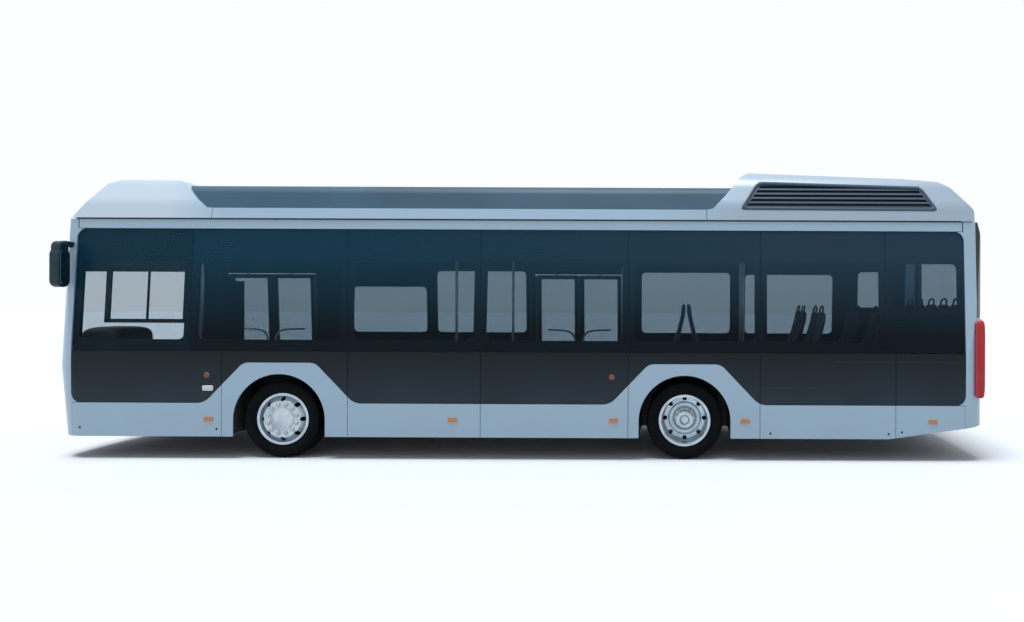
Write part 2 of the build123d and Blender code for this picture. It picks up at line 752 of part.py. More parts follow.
RAIL_Y = 430.0
RAIL_HALF = 40.0
RAIL_Z = (215.0, FLOOR_Z - FLOOR_THICK)
CROSS_MEMBERS = (420.0, 1500.0, 1960.0, 3450.0, 4400.0, 5300.0, 6300.0)
REAR_RAIL_Z = (590.0, PLATFORM_Z - FLOOR_THICK)
REAR_MEMBERS = (6860.0, 8000.0, 9000.0, 10200.0)
MEMBER_HALF = 35.0
FRONT_RAIL_S = (330.0, 6390.0)
REAR_RAIL_S = (PLATFORM_S + 51, 10560.0)
RAIL_SPLIT = 252.0
REAR_RAIL_SPLIT = 655.0
MEMBER_REACH = 1150.0
NARROW_REACH = 500.0
REAR_CLEAR = 600.0
PAD_HALF = 60.0
TOW_BLOCK = 120.0
TOW_FOOT = 195.0
TOW_R = 16.0
TOW_LENGTH = 90.0
TOW_S = 300.0
TOW_Z = 228.0
JACK_PADS = (1960.0, 6300.0)
JACK_Z = 198.0


def ladder(rail_ends, members, rail_z, split_z, reach):
    """Ladder frame: two rails with full-width cross members lying on them."""
    bars = []
    for y in (-RAIL_Y, RAIL_Y):
        bars.append(block(*rail_ends, y - RAIL_HALF, y + RAIL_HALF, rail_z[0], split_z))
    for s in members:
        half = reach if abs(s - REAR_AXLE) > REAR_CLEAR else NARROW_REACH
        bars.append(block(s - MEMBER_HALF, s + MEMBER_HALF, -half, half, split_z + SEAT_GAP, rail_z[1]))
    return bars


def underframe():
    """Front and rear ladder frames, tow socket and jacking pads below the floor."""
    bars = ladder(FRONT_RAIL_S, CROSS_MEMBERS, RAIL_Z, RAIL_SPLIT, MEMBER_REACH)
    bars += ladder(REAR_RAIL_S, REAR_MEMBERS, REAR_RAIL_Z, REAR_RAIL_SPLIT, MEMBER_REACH)
    for s in JACK_PADS:
        for y in (-RAIL_Y, RAIL_Y):
            pad = block(s - PAD_HALF, s + PAD_HALF, y - PAD_HALF, y + PAD_HALF, JACK_Z, RAIL_Z[0] - SEAT_GAP)
            bars.append(pad)
    socket = block(TOW_S, TOW_S + TOW_BLOCK, -PAD_HALF, PAD_HALF, TOW_FOOT, RAIL_SPLIT)
    bore = Pos(at(TOW_S + TOW_LENGTH / 2), 0, TOW_Z) * Rot(0, 90, 0) * Cylinder(TOW_R, TOW_LENGTH)
    return group(*bars, socket - bore)


# Power units as plain masses
TANKS = (1950.0, 7300.0, 780.0, FAIRING_FOOT, 3080.0)
ROOF_BATTERY = (600.0, 1350.0, 820.0, FAIRING_FOOT, 3120.0)
FUEL_CELL = (8150.0, 10100.0, 700.0, FAIRING_FOOT, 3180.0)
MOTOR = (8250.0, 9250.0, 380.0, 340.0, REAR_RAIL_SPLIT)


def mass_block(sizes):
    """Plain closed mass centred on the bus."""
    s0, s1, half, z0, z1 = sizes
    return block(s0, s1, -half, half, z0, z1)


# Axles, knuckles and wheels
TYRE_W = 275.0
TYRE_Y = 1057.0
TWIN_STEP = 308.0
RIM_R = 280.0
FLANGE_R = 297.0
RIM_HALF = 104.0
KINGPIN_Y = 880.0
KINGPIN_R = 24.0
SPINDLE_R = 42.0
HUB_R = 95.0
HOLES = 8
HOLE_PCD = 230.0
HOLE_R = 26.0
KNUCKLE_R = 55.0
KNUCKLE_HALF = 70.0
SPINDLE_OUT = 120.0
FORK_IN = 76.0
FORK_OUT = 140.0
AXLE_HALF = 45.0
AXLE_Z = (125.0, 205.0)
AXLE_REACH = 760.0
UPRIGHT_Y = (720.0, 800.0)
SPRING_R = 60.0
REAR_HALF = 90.0
REAR_Z = (230.0, 400.0)
REAR_REACH = 540.0
DRUM_Y = (480.0, 585.0)
STUB_OUT = 40.0
REAR_SPRING_R = 85.0
REAR_SPRING_Z = 380.0

# Turned profiles of the discs and the tyre: radius, place across
FRONT_DISC = ((268, 40), (268, 56), (215, 118), (60, 118), (60, 102), (206, 102))
REAR_DISC = ((268, -96), (268, -80), (240, -112), (60, -112), (60, -128), (244, -128))
TYRE_PROFILE = (
    (281, 92), (299, 93), (372, 137), (428, 122), (445, 92),
    (445, -92), (428, -122), (372, -137), (299, -93), (281, -92),
)


def turned(points):
    """Ring turned from a profile of radius and width, about the cross axis."""
    face = Plane.XY * Polygon(*points, align=None)
    return revolve(face, axis=Axis.Y)


def ring(outer, inner, low, high):
    """Plain ring about the cross axis."""
    return turned(((inner, low), (outer, low), (outer, high), (inner, high)))


def tyre_at(y):
    """One tyre about the cross axis, centred at a place across the bus."""
    return Pos(0, y, 0) * turned(TYRE_PROFILE)


def rim_at(y, sense, disc, bore, hub_low, hub_high):
    """One steel rim with its disc and hand holes; sense points outward."""
    rim = ring(RIM_R, RIM_R - 12, -RIM_HALF, RIM_HALF)
    for low in (-RIM_HALF, RIM_HALF - 10):
        rim = rim + ring(FLANGE_R, RIM_R - 12, low, low + 10)
    rim = rim + turned(disc)
    for index in range(HOLES):
        angle = 2 * math.pi * index / HOLES
        hole = Pos(HOLE_PCD * math.cos(angle), 0, HOLE_PCD * math.sin(angle)) * Rot(90, 0, 0)
        rim = rim - hole * Cylinder(HOLE_R, 4 * RIM_HALF)
    rim = rim + ring(HUB_R, bore, hub_low, hub_high)
    turn = Rot(0, 0, 0) if sense > 0 else Rot(180, 0, 0)
    return Pos(0, y, 0) * turn * rim


def placed(shape, axle):
    """Move a wheel part onto its axle."""
    return Pos(at(axle), 0, HUB_Z) * shape


def front_tyre(sense):
    """Front tyre of one side."""
    return placed(tyre_at(sense * TYRE_Y), FRONT_AXLE)


def front_wheel(sense):
    """Front wheel of one side with its hub."""
    rim = rim_at(sense * TYRE_Y, sense, FRONT_DISC, SPINDLE_R + FIT, -60, 140)
    return placed(rim, FRONT_AXLE)


def rear_tyres(sense):
    """Twin rear tyres of one side."""
    outer = tyre_at(sense * TYRE_Y)
    inner = tyre_at(sense * (TYRE_Y - TWIN_STEP))
    return group(placed(outer, REAR_AXLE), placed(inner, REAR_AXLE))


REAR_STUB_R = 58.0
DIFF_PROFILE = ((0, -150), (120, -150), (205, -50), (205, 50), (120, 150), (0, 150))


def rear_wheels(sense):
    """Twin rear wheels of one side joined at the hub."""
    outer = rim_at(sense * TYRE_Y, sense, REAR_DISC, REAR_STUB_R + FIT, -185, 60)
    inner_disc = tuple((r, -y) for r, y in reversed(REAR_DISC))
    inner = rim_at(sense * (TYRE_Y - TWIN_STEP), sense, inner_disc, REAR_STUB_R + FIT, 110, 150)
    return placed(outer + inner, REAR_AXLE)


def span(sense, near, far):
    """Two places across the bus on one side, in rising order."""
    return sorted((sense * near, sense * far))


def knuckle(sense):
    """Steering knuckle with its spindle, of one side."""
    spindle = crossbar(FRONT_AXLE, HUB_Z, sense * KINGPIN_Y, sense * (TYRE_Y + SPINDLE_OUT), SPINDLE_R)
    head = post(FRONT_AXLE, sense * KINGPIN_Y, HUB_Z - KNUCKLE_HALF, HUB_Z + KNUCKLE_HALF, KNUCKLE_R)
    bore = post(FRONT_AXLE, sense * KINGPIN_Y, 0, 2 * HUB_Z, KINGPIN_R + FIT)
    half = KNUCKLE_R - KNUCKLE_R / 4
    flange = block(FRONT_AXLE - half, FRONT_AXLE + half, *span(sense, KINGPIN_Y, KINGPIN_Y + KNUCKLE_HALF),
                   HUB_Z - half, HUB_Z + half)
    return head + flange + spindle - bore


def axle_bar(sense, near, far, z0, z1):
    """Square bar of the front axle between two places across one side."""
    return block(FRONT_AXLE - AXLE_HALF, FRONT_AXLE + AXLE_HALF, *span(sense, near, far), z0, z1)


def front_axle():
    """Dropped front axle beam with forks and kingpins."""
    beam = axle_bar(1, -AXLE_REACH, AXLE_REACH, *AXLE_Z)
    reach = KINGPIN_Y + AXLE_HALF
    for sense in (-1, 1):
        beam = beam + axle_bar(sense, *UPRIGHT_Y, AXLE_Z[0], HUB_Z + FORK_OUT)
        beam = beam + axle_bar(sense, UPRIGHT_Y[0], reach, HUB_Z - FORK_OUT, HUB_Z - FORK_IN)
        beam = beam + axle_bar(sense, UPRIGHT_Y[0], reach, HUB_Z + FORK_IN, HUB_Z + FORK_OUT)
        beam = beam + post(FRONT_AXLE, sense * KINGPIN_Y, HUB_Z - FORK_OUT, HUB_Z + FORK_OUT, KINGPIN_R)
        beam = beam + post(FRONT_AXLE, sense * RAIL_Y, AXLE_Z[1], RAIL_Z[0] - SEAT_GAP, SPRING_R)
    return beam


def rear_axle():
    """Dropped rear drive axle with end drums and stub shafts."""
    beam = block(REAR_AXLE - REAR_HALF, REAR_AXLE + REAR_HALF, -REAR_REACH, REAR_REACH, *REAR_Z)
    beam = beam + placed(turned(DIFF_PROFILE), REAR_AXLE)
    for sense in (-1, 1):
        beam = beam + crossbar(REAR_AXLE, HUB_Z, *span(sense, *DRUM_Y), DRUM_R)
        beam = beam + crossbar(REAR_AXLE, HUB_Z, *span(sense, DRUM_Y[1], TYRE_Y + STUB_OUT), REAR_STUB_R)
        beam = beam + post(REAR_AXLE, sense * RAIL_Y, REAR_SPRING_Z, REAR_RAIL_Z[0] - SEAT_GAP, REAR_SPRING_R)
    return beam


# Door leaves, pillars and arms
LEAF_NAMES = ("front_leaf", "rear_leaf")


def door_parts(middle, sense):
    """One leaf with its brackets, and its turning pillar with arms; sense points from jamb to middle."""
    pillar_s = middle - sense * (DOOR_HALF + PILLAR_BACK)
    start = pillar_s + sense * LEAF_START
    end = middle - sense * MEETING_GAP
    s0, s1 = sorted((start, end))
    leaf = DOOR_LAYER & along_y(panel(s0, s1, LEAF_FOOT, LEAF_TOP), 0, FAR)
    light = panel(s0 + LEAF_RIM, s1 - LEAF_RIM, LEAF_FOOT + 90, LEAF_TOP - LEAF_RIM)
    light = fillet(light.vertices(), 40)
    leaf = leaf - along_y(light, 0, FAR)
    leaf = leaf + (LEAF_PANE & along_y(shrunk(light, -1), 0, FAR))
    link_s = pillar_s + sense * LINK_R
    arms = post(pillar_s, PILLAR_Y, FLOOR_Z + SEAT_GAP, PILLAR_TOP, PILLAR_R)
    for low, pad in ((LEAF_TOP + ARM_CLEAR, LEAF_TOP - 14), (LEAF_FOOT - ARM_CLEAR - ARM_THICK, LEAF_FOOT)):
        bar = block(*sorted((pillar_s, link_s)), PILLAR_Y - ARM_HALF, PILLAR_Y + ARM_HALF, low, low + ARM_THICK)
        eye = post(link_s, PILLAR_Y, low, low + ARM_THICK, ARM_HALF + 5)
        pin = post(link_s, PILLAR_Y, min(low, pad), max(low + ARM_THICK, pad + 14), PIN_R)
        arms = arms + bar + eye + pin
        plate = block(link_s - 30, link_s + 30, PILLAR_Y - 22, HALF - 30, pad, pad + 14)
        plate = plate & body(LEAF_INSET + 5)
        hole = post(link_s, PILLAR_Y, pad - 5, pad + 20, PIN_R + FIT)
        leaf = leaf + plate - hole
    return leaf, arms


# Lamps, mirrors and cab fittings
MARKERS = (1889.0, 4669.0, 6509.0, 8011.0, 10155.0)
MARKER_Z = 454.0
MARKER_LONG = 100.0
MARKER_HIGH = 47.0
MARKER_PROUD = 8.0


def side_markers():
    """Amber side marker lamps on both skirts."""
    lamps = []
    for s in MARKERS:
        for sense in (-1, 1):
            in_door = any(abs(s - middle) < DOOR_HALF + MARKER_LONG for name, middle in DOORS)
            if sense > 0 and in_door:
                continue
            y0, y1 = sorted((sense * HALF, sense * (HALF + MARKER_PROUD)))
            half = MARKER_LONG / 2
            lamps.append(block(s - half, s + half, y0, y1, MARKER_Z - MARKER_HIGH / 2, MARKER_Z + MARKER_HIGH / 2))
    return group(*lamps)


DASH_Z = 700.0
DASH = ((120, DASH_Z), (520, DASH_Z), (760, 980), (700, 1110), (330, 1150), (120, 1060))
SHELF = ((120, DASH_Z), (400, DASH_Z), (400, 1020), (120, 1060))
DASH_HALF = 1130.0
DASH_PART = 420.0
STAND_S = (180.0, 430.0)
STAND_HALF = 1000.0
WHEEL_S = 845.0
WHEEL_Y = -640.0
WHEEL_Z = 1115.0
WHEEL_R = 225.0
WHEEL_BAR = 16.0
WHEEL_RAKE = 50.0
WHEEL_RIM = ((209, 0), (217, -14), (233, -14), (241, 0), (233, 14), (217, 14))
COLUMN_LONG = 240.0
COLUMN_R = 30.0
MIRROR_HEAD = (212.0, 326.0, 1266.0, 1440.0, 1950.0, 2390.0)
MIRROR_R = 78.0
MIRROR_EDGE = 22.0
MIRROR_ARM = (225.0, 285.0, 2370.0, 2470.0)


def mirrors():
    """Mirror heads on arms at both front corners."""
    s0, s1, y0, y1, z0, z1 = MIRROR_HEAD
    head = along_x(opening(y0, y1, z0, z1, MIRROR_R), s0, s1)
    rims = [edge for edge in head.edges() if abs(edge.center().X - at(s0)) < 1 or abs(edge.center().X - at(s1)) < 1]
    head = fillet(rims, MIRROR_EDGE)
    a0, a1, b0, b1 = MIRROR_ARM
    middle = (y0 + y1) / 2
    stem = block(a0, a1, middle - ARM_HALF, middle + ARM_HALF, b0, b1)
    arm = block(a0, a1, y0 - 4 * WALL, middle + ARM_HALF, b1 - 2 * ARM_HALF, b1) - body(-SEAT_GAP)
    right = head + stem + arm
    return group(right, mirror(right, about=Plane.XZ))


def steering_wheel():
    """Steering wheel on its raked column."""
    rim = turned(WHEEL_RIM)
    spoke = Box(2 * WHEEL_R - WHEEL_BAR, WHEEL_BAR, 2 * WHEEL_BAR)
    column = Pos(0, COLUMN_LONG / 2, 0) * Rot(90, 0, 0) * Cylinder(COLUMN_R, COLUMN_LONG)
    return Pos(at(WHEEL_S), WHEEL_Y, WHEEL_Z) * Rot(0, 0, 90) * Rot(-WHEEL_RAKE, 0, 0) * (rim + spoke + column)


def dashboard():
    """Dashboard under the windscreen on its stand, with the steering column and wheel."""
    room = body(WALL + 6)
    dash = along_y(outline(DASH), -DASH_HALF, DASH_PART) & room
    shelf = along_y(outline(SHELF), DASH_PART + SEAT_GAP, DASH_HALF) & room
    stand = block(*STAND_S, -STAND_HALF, STAND_HALF, FLOOR_Z + SEAT_GAP, DASH_Z - SEAT_GAP) & room
    wheel = steering_wheel() - along_y(shrunk(outline(DASH), -SEAT_GAP), -DASH_HALF, DASH_PART)
    return group(dash, shelf, stand, max(wheel.solids(), key=lambda solid: solid.volume))


CAB_REAR_S = 1760.0
CAB_FRONT_S = 1120.0
CAB_WALL = 25.0
CAB_Y = -405.0
CAB_HIGH = 2050.0
CAB_LOW = 1180.0


def cab_partition():
    """Partition behind the driver, with a low cab door beside the seat."""
    inner = CAB_Y + CAB_WALL
    rear = block(CAB_REAR_S, CAB_REAR_S + CAB_WALL, -HALF, inner, FLOOR_Z, CAB_HIGH) & body(WALL + SEAM)
    side = block(CAB_FRONT_S, CAB_REAR_S, CAB_Y, inner, FLOOR_Z, CAB_LOW)
    return rear + side


# Seats
SEAT_WIDE = 880.0
SEAT_DEEP = 430.0
SEAT_PAD = 75.0
SEAT_Y = 690.0
BENCH_GAP = 10.0
PEDESTAL_HALF = 60.0
BACK_THICK = 55.0
BACK_LEAN = 210.0
BACK_DROP = 60.0
BOX_Z = REAR_WELL[3] + WELL_WALL

# Seat rows: place of the back, facing, cushion height, back height, floor height, places across
ROWS = (
    (4150.0, -1, 750.0, 1310.0, FLOOR_Z, (-SEAT_Y, SEAT_Y)),
    (4900.0, -1, 750.0, 1310.0, FLOOR_Z, (-SEAT_Y,)),
    (5650.0, -1, 750.0, 1310.0, FLOOR_Z, (-SEAT_Y,)),
    (7065.0, -1, 1120.0, 1790.0, BOX_Z, (-SEAT_Y, SEAT_Y)),
    (7605.0, 1, 1120.0, 1790.0, BOX_Z, (-SEAT_Y, SEAT_Y)),
    (8700.0, -1, 1140.0, 1700.0, PLATFORM_Z, (-SEAT_Y, SEAT_Y)),
    (9450.0, -1, 1140.0, 1700.0, PLATFORM_Z, (-SEAT_Y, SEAT_Y)),
    (10300.0, -1, 1190.0, 1800.0, PLATFORM_Z, (-SEAT_Y, 0.0, SEAT_Y)),
)

# Driver's seat: place of the back, place across, cushion height, back height
DRIVER_SEAT = (1560.0, -665.0, 920.0, 1700.0)
DRIVER_HALF = 240.0
DRIVER_DEEP = 480.0
DRIVER_PAD = 110.0
DRIVER_LEAN = 120.0
DRIVER_FOOT = (330.0, 130.0, 140.0)


def seat_half(y):
    """Half width of a seat: the one in the middle of the bench fills the room between its neighbours."""
    return SEAT_WIDE / 2 if y else SEAT_Y - SEAT_WIDE / 2 - BENCH_GAP


def seat_cushions():
    """Seat cushions on their pedestals."""
    seats = []
    for s, facing, high, top, floor, places in ROWS:
        for y in places:
            half = seat_half(y)
            near, far = sorted((s + facing * SEAT_GAP, s + facing * SEAT_DEEP))
            under = high - SEAT_PAD
            mid = (near + far) / 2
            seats.append(block(near, far, y - half, y + half, under, high))
            foot = block(mid - PEDESTAL_HALF, mid + PEDESTAL_HALF, y - half / 2, y + half / 2, floor, under)
            seats.append(Pos(0, 0, SEAT_GAP / 2) * foot & block(0, LENGTH, -HALF, HALF, 0, under - SEAT_GAP / 2))
    s, y, high, top = DRIVER_SEAT
    under = high - DRIVER_PAD
    front, back, half = DRIVER_FOOT
    seats.append(block(s - DRIVER_DEEP, s - SEAT_GAP, y - DRIVER_HALF, y + DRIVER_HALF, under, high))
    seats.append(block(s - front, s - back, y - half, y + half, FLOOR_Z + SEAT_GAP, under - SEAT_GAP))
    return group(*seats)


def seat_backs():
    """Leaning seat backs behind the cushions."""
    backs = []
    for s, facing, high, top, floor, places in ROWS:
        lean = s - facing * BACK_LEAN
        thick = -facing * BACK_THICK
        foot = high - BACK_DROP
        face = outline(((s, foot), (s + thick, foot), (lean + thick / 2, top), (lean, top)))
        for y in places:
            backs.append(along_y(face, y - seat_half(y), y + seat_half(y)))
    s, y, high, top = DRIVER_SEAT
    foot = high - BACK_DROP
    lean = s + DRIVER_LEAN
    face = outline(((s, foot), (s + BACK_THICK, foot), (lean + BACK_THICK, top), (lean, top)))
    backs.append(along_y(face, y - DRIVER_HALF, y + DRIVER_HALF))
    return group(*backs)


# Upright poles: place along, place across
POLES = ((4400.0, -215.0), (5000.0, 330.0), (6480.0, 380.0), (8060.0, -250.0), (8060.0, 250.0))
POLE_R = 17.0


def handrails():
    """Upright poles between the floor and the roof."""
    rails = []
    for s, y in POLES:
        floor = FLOOR_Z if s < STEP_S else PLATFORM_Z
        if STEP_S <= s < PLATFORM_S:
            floor = STEP_Z
        rails.append(post(s, y, floor + SEAT_GAP, ROOF_FOOT - SEAT_GAP, POLE_R))
    return group(*rails)


save(underframe(), "underframe")
save(floor_deck(), "floor_deck")
save(wheel_boxes(), "wheel_boxes")
save(rear_platform(), "rear_platform")
save(left_wall(), "left_wall")
save(right_wall(), "right_wall")
save(side_skirts(), "side_skirts")
save(waist_bands(), "waist_bands")
save(side_glazing(), "side_glazing")
save(front_mask(), "front_mask")
save(windscreen(), "windscreen")
save(rear_mask(), "rear_mask")
save(rear_window(), "rear_window")
save(rear_hatch(), "rear_hatch")
save(roof_panel(), "roof_panel")
save(roof_fairings(), "roof_fairings")
save(tank_cowl(), "tank_cowl")
save(roof_grilles(), "roof_grilles")
save(headlamps(), "headlamps")
save(tail_lamps(), "tail_lamps")
save(side_markers(), "side_markers")
save(mirrors(), "mirrors")
save(dashboard(), "dashboard")
save(cab_partition(), "cab_partition")
save(seat_cushions(), "seat_cushions")
save(seat_backs(), "seat_backs")
save(handrails(), "handrails")
save(mass_block(TANKS), "hydrogen_tanks")
save(mass_block(ROOF_BATTERY), "roof_battery")
save(mass_block(FUEL_CELL), "fuel_cell")
save(mass_block(MOTOR), "traction_motor")
save(front_axle(), "front_axle")
save(rear_axle(), "rear_axle")
for side, sense in (("left", -1), ("right", 1)):
    save(knuckle(sense), side + "_knuckle")
    save(front_tyre(sense), "front_" + side + "_tyre")
    save(front_wheel(sense), "front_" + side + "_wheel")
    save(rear_tyres(sense), "rear_" + side + "_tyres")
    save(rear_wheels(sense), "rear_" + side + "_wheels")
for name, middle in DOORS:
    for leaf_name, sense in zip(LEAF_NAMES, (1, -1)):
        leaf, arms = door_parts(middle, sense)
        save(leaf, name + "_" + leaf_name)
        save(arms, name + "_" + leaf_name + "_arms")
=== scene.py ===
import math

import bpy
import numpy as np
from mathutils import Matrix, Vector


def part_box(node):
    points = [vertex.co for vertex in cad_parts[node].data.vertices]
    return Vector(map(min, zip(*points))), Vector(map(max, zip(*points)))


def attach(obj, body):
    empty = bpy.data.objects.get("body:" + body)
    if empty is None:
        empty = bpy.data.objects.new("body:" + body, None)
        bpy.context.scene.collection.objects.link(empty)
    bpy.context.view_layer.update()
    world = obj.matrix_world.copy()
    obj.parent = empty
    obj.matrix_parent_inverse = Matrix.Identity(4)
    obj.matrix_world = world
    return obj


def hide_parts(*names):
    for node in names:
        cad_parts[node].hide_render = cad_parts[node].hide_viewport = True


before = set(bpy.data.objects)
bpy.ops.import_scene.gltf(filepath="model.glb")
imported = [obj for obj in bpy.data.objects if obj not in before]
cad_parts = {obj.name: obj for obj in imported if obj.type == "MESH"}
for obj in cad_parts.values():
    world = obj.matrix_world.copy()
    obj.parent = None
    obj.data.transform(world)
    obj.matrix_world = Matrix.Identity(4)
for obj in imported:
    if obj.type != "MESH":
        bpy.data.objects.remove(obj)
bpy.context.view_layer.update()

# Camera, floor and light. The bus stands on a plain white floor and is seen square on from its left side,
# with the lens opposite the rear axle, so the front half is seen a little from behind.
FRONT = -5.4
FRONT_AXLE, REAR_AXLE = FRONT + 2.69, FRONT + 7.32
EYE_AWAY, EYE_HIGH = 9.85, 1.80


def linear(code):
    """sRGB hex to linear colour: each channel is c/12.92 below 0.04045, else ((c+0.055)/1.055) to the 2.4."""
    c = np.array([int(code[i:i + 2], 16) for i in (0, 2, 4)]) / 255
    c = np.where(c <= 0.04045, c / 12.92, ((c + 0.055) / 1.055) ** 2.4)
    return (*c, 1.0)


def add(tree, kind, inputs=None, **settings):
    """Adds one node: settings go on the node, inputs are values for its sockets or sockets to link from."""
    made = tree.nodes.new(kind)
    for name, value in settings.items():
        setattr(made, name, value)
    for key, value in (inputs or {}).items():
        if isinstance(value, bpy.types.NodeSocket):
            tree.links.new(value, made.inputs[key])
        else:
            made.inputs[key].default_value = value
    return made


def math_of(tree, operation, *values):
    """Result of one maths node on numbers or sockets."""
    return add(tree, "ShaderNodeMath", dict(enumerate(values)), operation=operation).outputs[0]


def ramp_up(tree, value, start, end, low=0.0, high=1.0):
    """Runs evenly from low to high while a value goes from start to end, and stays level outside."""
    return add(tree, "ShaderNodeMapRange", {0: value, 1: start, 2: end, 3: low, 4: high}).outputs[0]


def blend(tree, share, first, second):
    """Colour between two sRGB hex tones or sockets, by a share from nought to one."""
    ends = [linear(tone) if isinstance(tone, str) else tone for tone in (first, second)]
    return add(tree, "ShaderNodeMix", {0: share, 6: ends[0], 7: ends[1]}, data_type="RGBA").outputs[2]


def seen_share(tree):
    """One for rays that carry the picture, direct, mirrored or through glass; nought for lighting rays."""
    path = add(tree, "ShaderNodeLightPath")
    share = path.outputs["Is Camera Ray"]
    for kind in ("Is Glossy Ray", "Is Transmission Ray"):
        share = math_of(tree, "MAXIMUM", share, path.outputs[kind])
    return share


camera = bpy.data.objects.new("camera", bpy.data.cameras.new("camera"))
camera.data.lens = 26.5
camera.data.shift_x = -0.169
camera.data.shift_y = -0.0078
camera.location = (REAR_AXLE, -EYE_AWAY, EYE_HIGH)
camera.rotation_euler = (math.radians(90), math.radians(-0.24), 0)
bpy.context.scene.collection.objects.link(camera)
bpy.context.scene.camera = camera

floor = bpy.data.objects.new("studio_floor", bpy.data.meshes.new("studio_floor"))
floor.data.from_pydata([(-90, -60, 0), (90, -60, 0), (90, 120, 0), (-90, 120, 0)], [], [(0, 1, 2, 3)])
bpy.context.scene.collection.objects.link(floor)
white = bpy.data.materials.new("white_studio_floor")
white.use_nodes = True
tree = white.node_tree
tone = blend(tree, seen_share(tree), "A9A9A8", "DDE4EB")
tree.links.new(tone, tree.nodes["Principled BSDF"].inputs["Base Color"])
tree.nodes["Principled BSDF"].inputs["Roughness"].default_value = 0.9
tree.nodes["Principled BSDF"].inputs["Specular IOR Level"].default_value = 0.1
floor.data.materials.append(white)

world = bpy.data.worlds.new("studio")
bpy.context.scene.world = world
world.use_nodes = True
sky = world.node_tree
level = ramp_up(sky, seen_share(sky), 0.0, 1.0, 0.5, 1.0)
sky.links.new(level, sky.nodes["Background"].inputs["Strength"])
sky.nodes["Background"].inputs["Color"].default_value = linear("FDFEFF")

sun = bpy.data.objects.new("overhead_light", bpy.data.lights.new("overhead_light", "SUN"))
sun.data.energy = 2.9
sun.data.angle = math.radians(24)
sun.rotation_euler = (math.radians(5), math.radians(-6), 0)
bpy.context.scene.collection.objects.link(sun)
bpy.context.scene.view_settings.view_transform = "Standard"

# Body colour. Panels of glass-fibre and aluminium sheet are sprayed in a pale blue silver with a clear coat;
# the skin has fine orange peel, and road dust greys the skirts.
SILVER, DUST = "A3C2DB", "84898D"
DUST_LOW, DUST_HIGH, DUST_MOST = 0.25, 0.85, 0.22


def finish(name, colour, rough, metal=0.0, ior=1.5, coat=0.0, gloss=0.5):
    """A principled material of one real finish: returns the material, its node tree and its shader."""
    made = bpy.data.materials.new(name)
    made.use_nodes = True
    shader = made.node_tree.nodes["Principled BSDF"]
    shader.inputs["Base Color"].default_value = linear(colour)
    shader.inputs["Roughness"].default_value = rough
    shader.inputs["Metallic"].default_value = metal
    shader.inputs["IOR"].default_value = ior
    shader.inputs["Coat Weight"].default_value = coat
    shader.inputs["Specular IOR Level"].default_value = gloss
    return made, made.node_tree, shader


def axes_of(tree):
    """The three object coordinates of a point on the surface."""
    place = add(tree, "ShaderNodeTexCoord")
    return add(tree, "ShaderNodeSeparateXYZ", {0: place.outputs["Object"]}).outputs


def clouds(tree, size_mm, detail):
    """Soft noise of one real size, on object coordinates."""
    place = add(tree, "ShaderNodeTexCoord")
    inputs = {"Vector": place.outputs["Object"], "Scale": 1000 / size_mm, "Detail": detail}
    return add(tree, "ShaderNodeTexNoise", inputs).outputs[0]


def grain(tree, shader, size_mm, depth_mm, detail=3.0, stretch=(1, 1, 1)):
    """Bump from noise of one real grain size, on object coordinates."""
    place = add(tree, "ShaderNodeTexCoord")
    turned = add(tree, "ShaderNodeMapping", {"Vector": place.outputs["Object"], "Scale": stretch})
    inputs = {"Vector": turned.outputs[0], "Scale": 1000 / size_mm, "Detail": detail}
    noise = add(tree, "ShaderNodeTexNoise", inputs)
    inputs = {"Height": noise.outputs[0], "Strength": 1.0, "Distance": depth_mm / 1000}
    bump = add(tree, "ShaderNodeBump", inputs)
    tree.links.new(bump.outputs[0], shader.inputs["Normal"])


def mottle(tree, shader, pale, dark, size_mm, low=0.35, high=0.65):
    """Colour that drifts between two tones in clouds of one real size, on object coordinates."""
    ramp = add(tree, "ShaderNodeValToRGB", {0: clouds(tree, size_mm, 4.0)})
    ramp.color_ramp.elements[0].position = low
    ramp.color_ramp.elements[1].position = high
    ramp.color_ramp.elements[0].color = linear(dark)
    ramp.color_ramp.elements[1].color = linear(pale)
    tree.links.new(ramp.outputs[0], shader.inputs["Base Color"])


def dress(look, *nodes):
    """Puts one finish on CAD nodes."""
    for name in nodes:
        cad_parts[name].material_slots[0].material = look


paint, tree, shader = finish("clear_coated_silver_paint", SILVER, 0.34, metal=0.1, coat=0.35)
shader.inputs["Coat Roughness"].default_value = 0.06
grain(tree, shader, 4.0, 0.02)
low = ramp_up(tree, axes_of(tree)[2], DUST_LOW, DUST_HIGH, DUST_MOST, 0.0)
dust = math_of(tree, "MULTIPLY", low, clouds(tree, 350, 6.0))
tree.links.new(blend(tree, dust, SILVER, DUST), shader.inputs["Base Color"])
dress(paint, "side_skirts", "front_mask", "rear_hatch", "roof_panel")

# Roof fairings. Glass-fibre mouldings bolted down over the roof's edge, in the same paint, with a painted
# highlight that makes the front paler and painted shade that makes the rear greyer.
FRONT_PAINTED_HIGHLIGHT, REAR_PAINTED_SHADE = (-4.1, -3.4), (1.7, 2.7)
fairing_paint = paint.copy()
fairing_paint.name = "clear_coated_fairing_paint_with_painted_light"
tree = fairing_paint.node_tree
along = axes_of(tree)[0]
# painted highlight: the front of the fairings is painted paler
painted_light_tone = blend(tree, ramp_up(tree, along, *FRONT_PAINTED_HIGHLIGHT), "C5D9EB", SILVER)
# painted shade: the rear of the fairings is painted greyer
painted_light_tone = blend(tree, ramp_up(tree, along, *REAR_PAINTED_SHADE), painted_light_tone, "9DB2C6")
tree.links.new(painted_light_tone, tree.nodes["Principled BSDF"].inputs["Base Color"])
dress(fairing_paint, "roof_fairings")

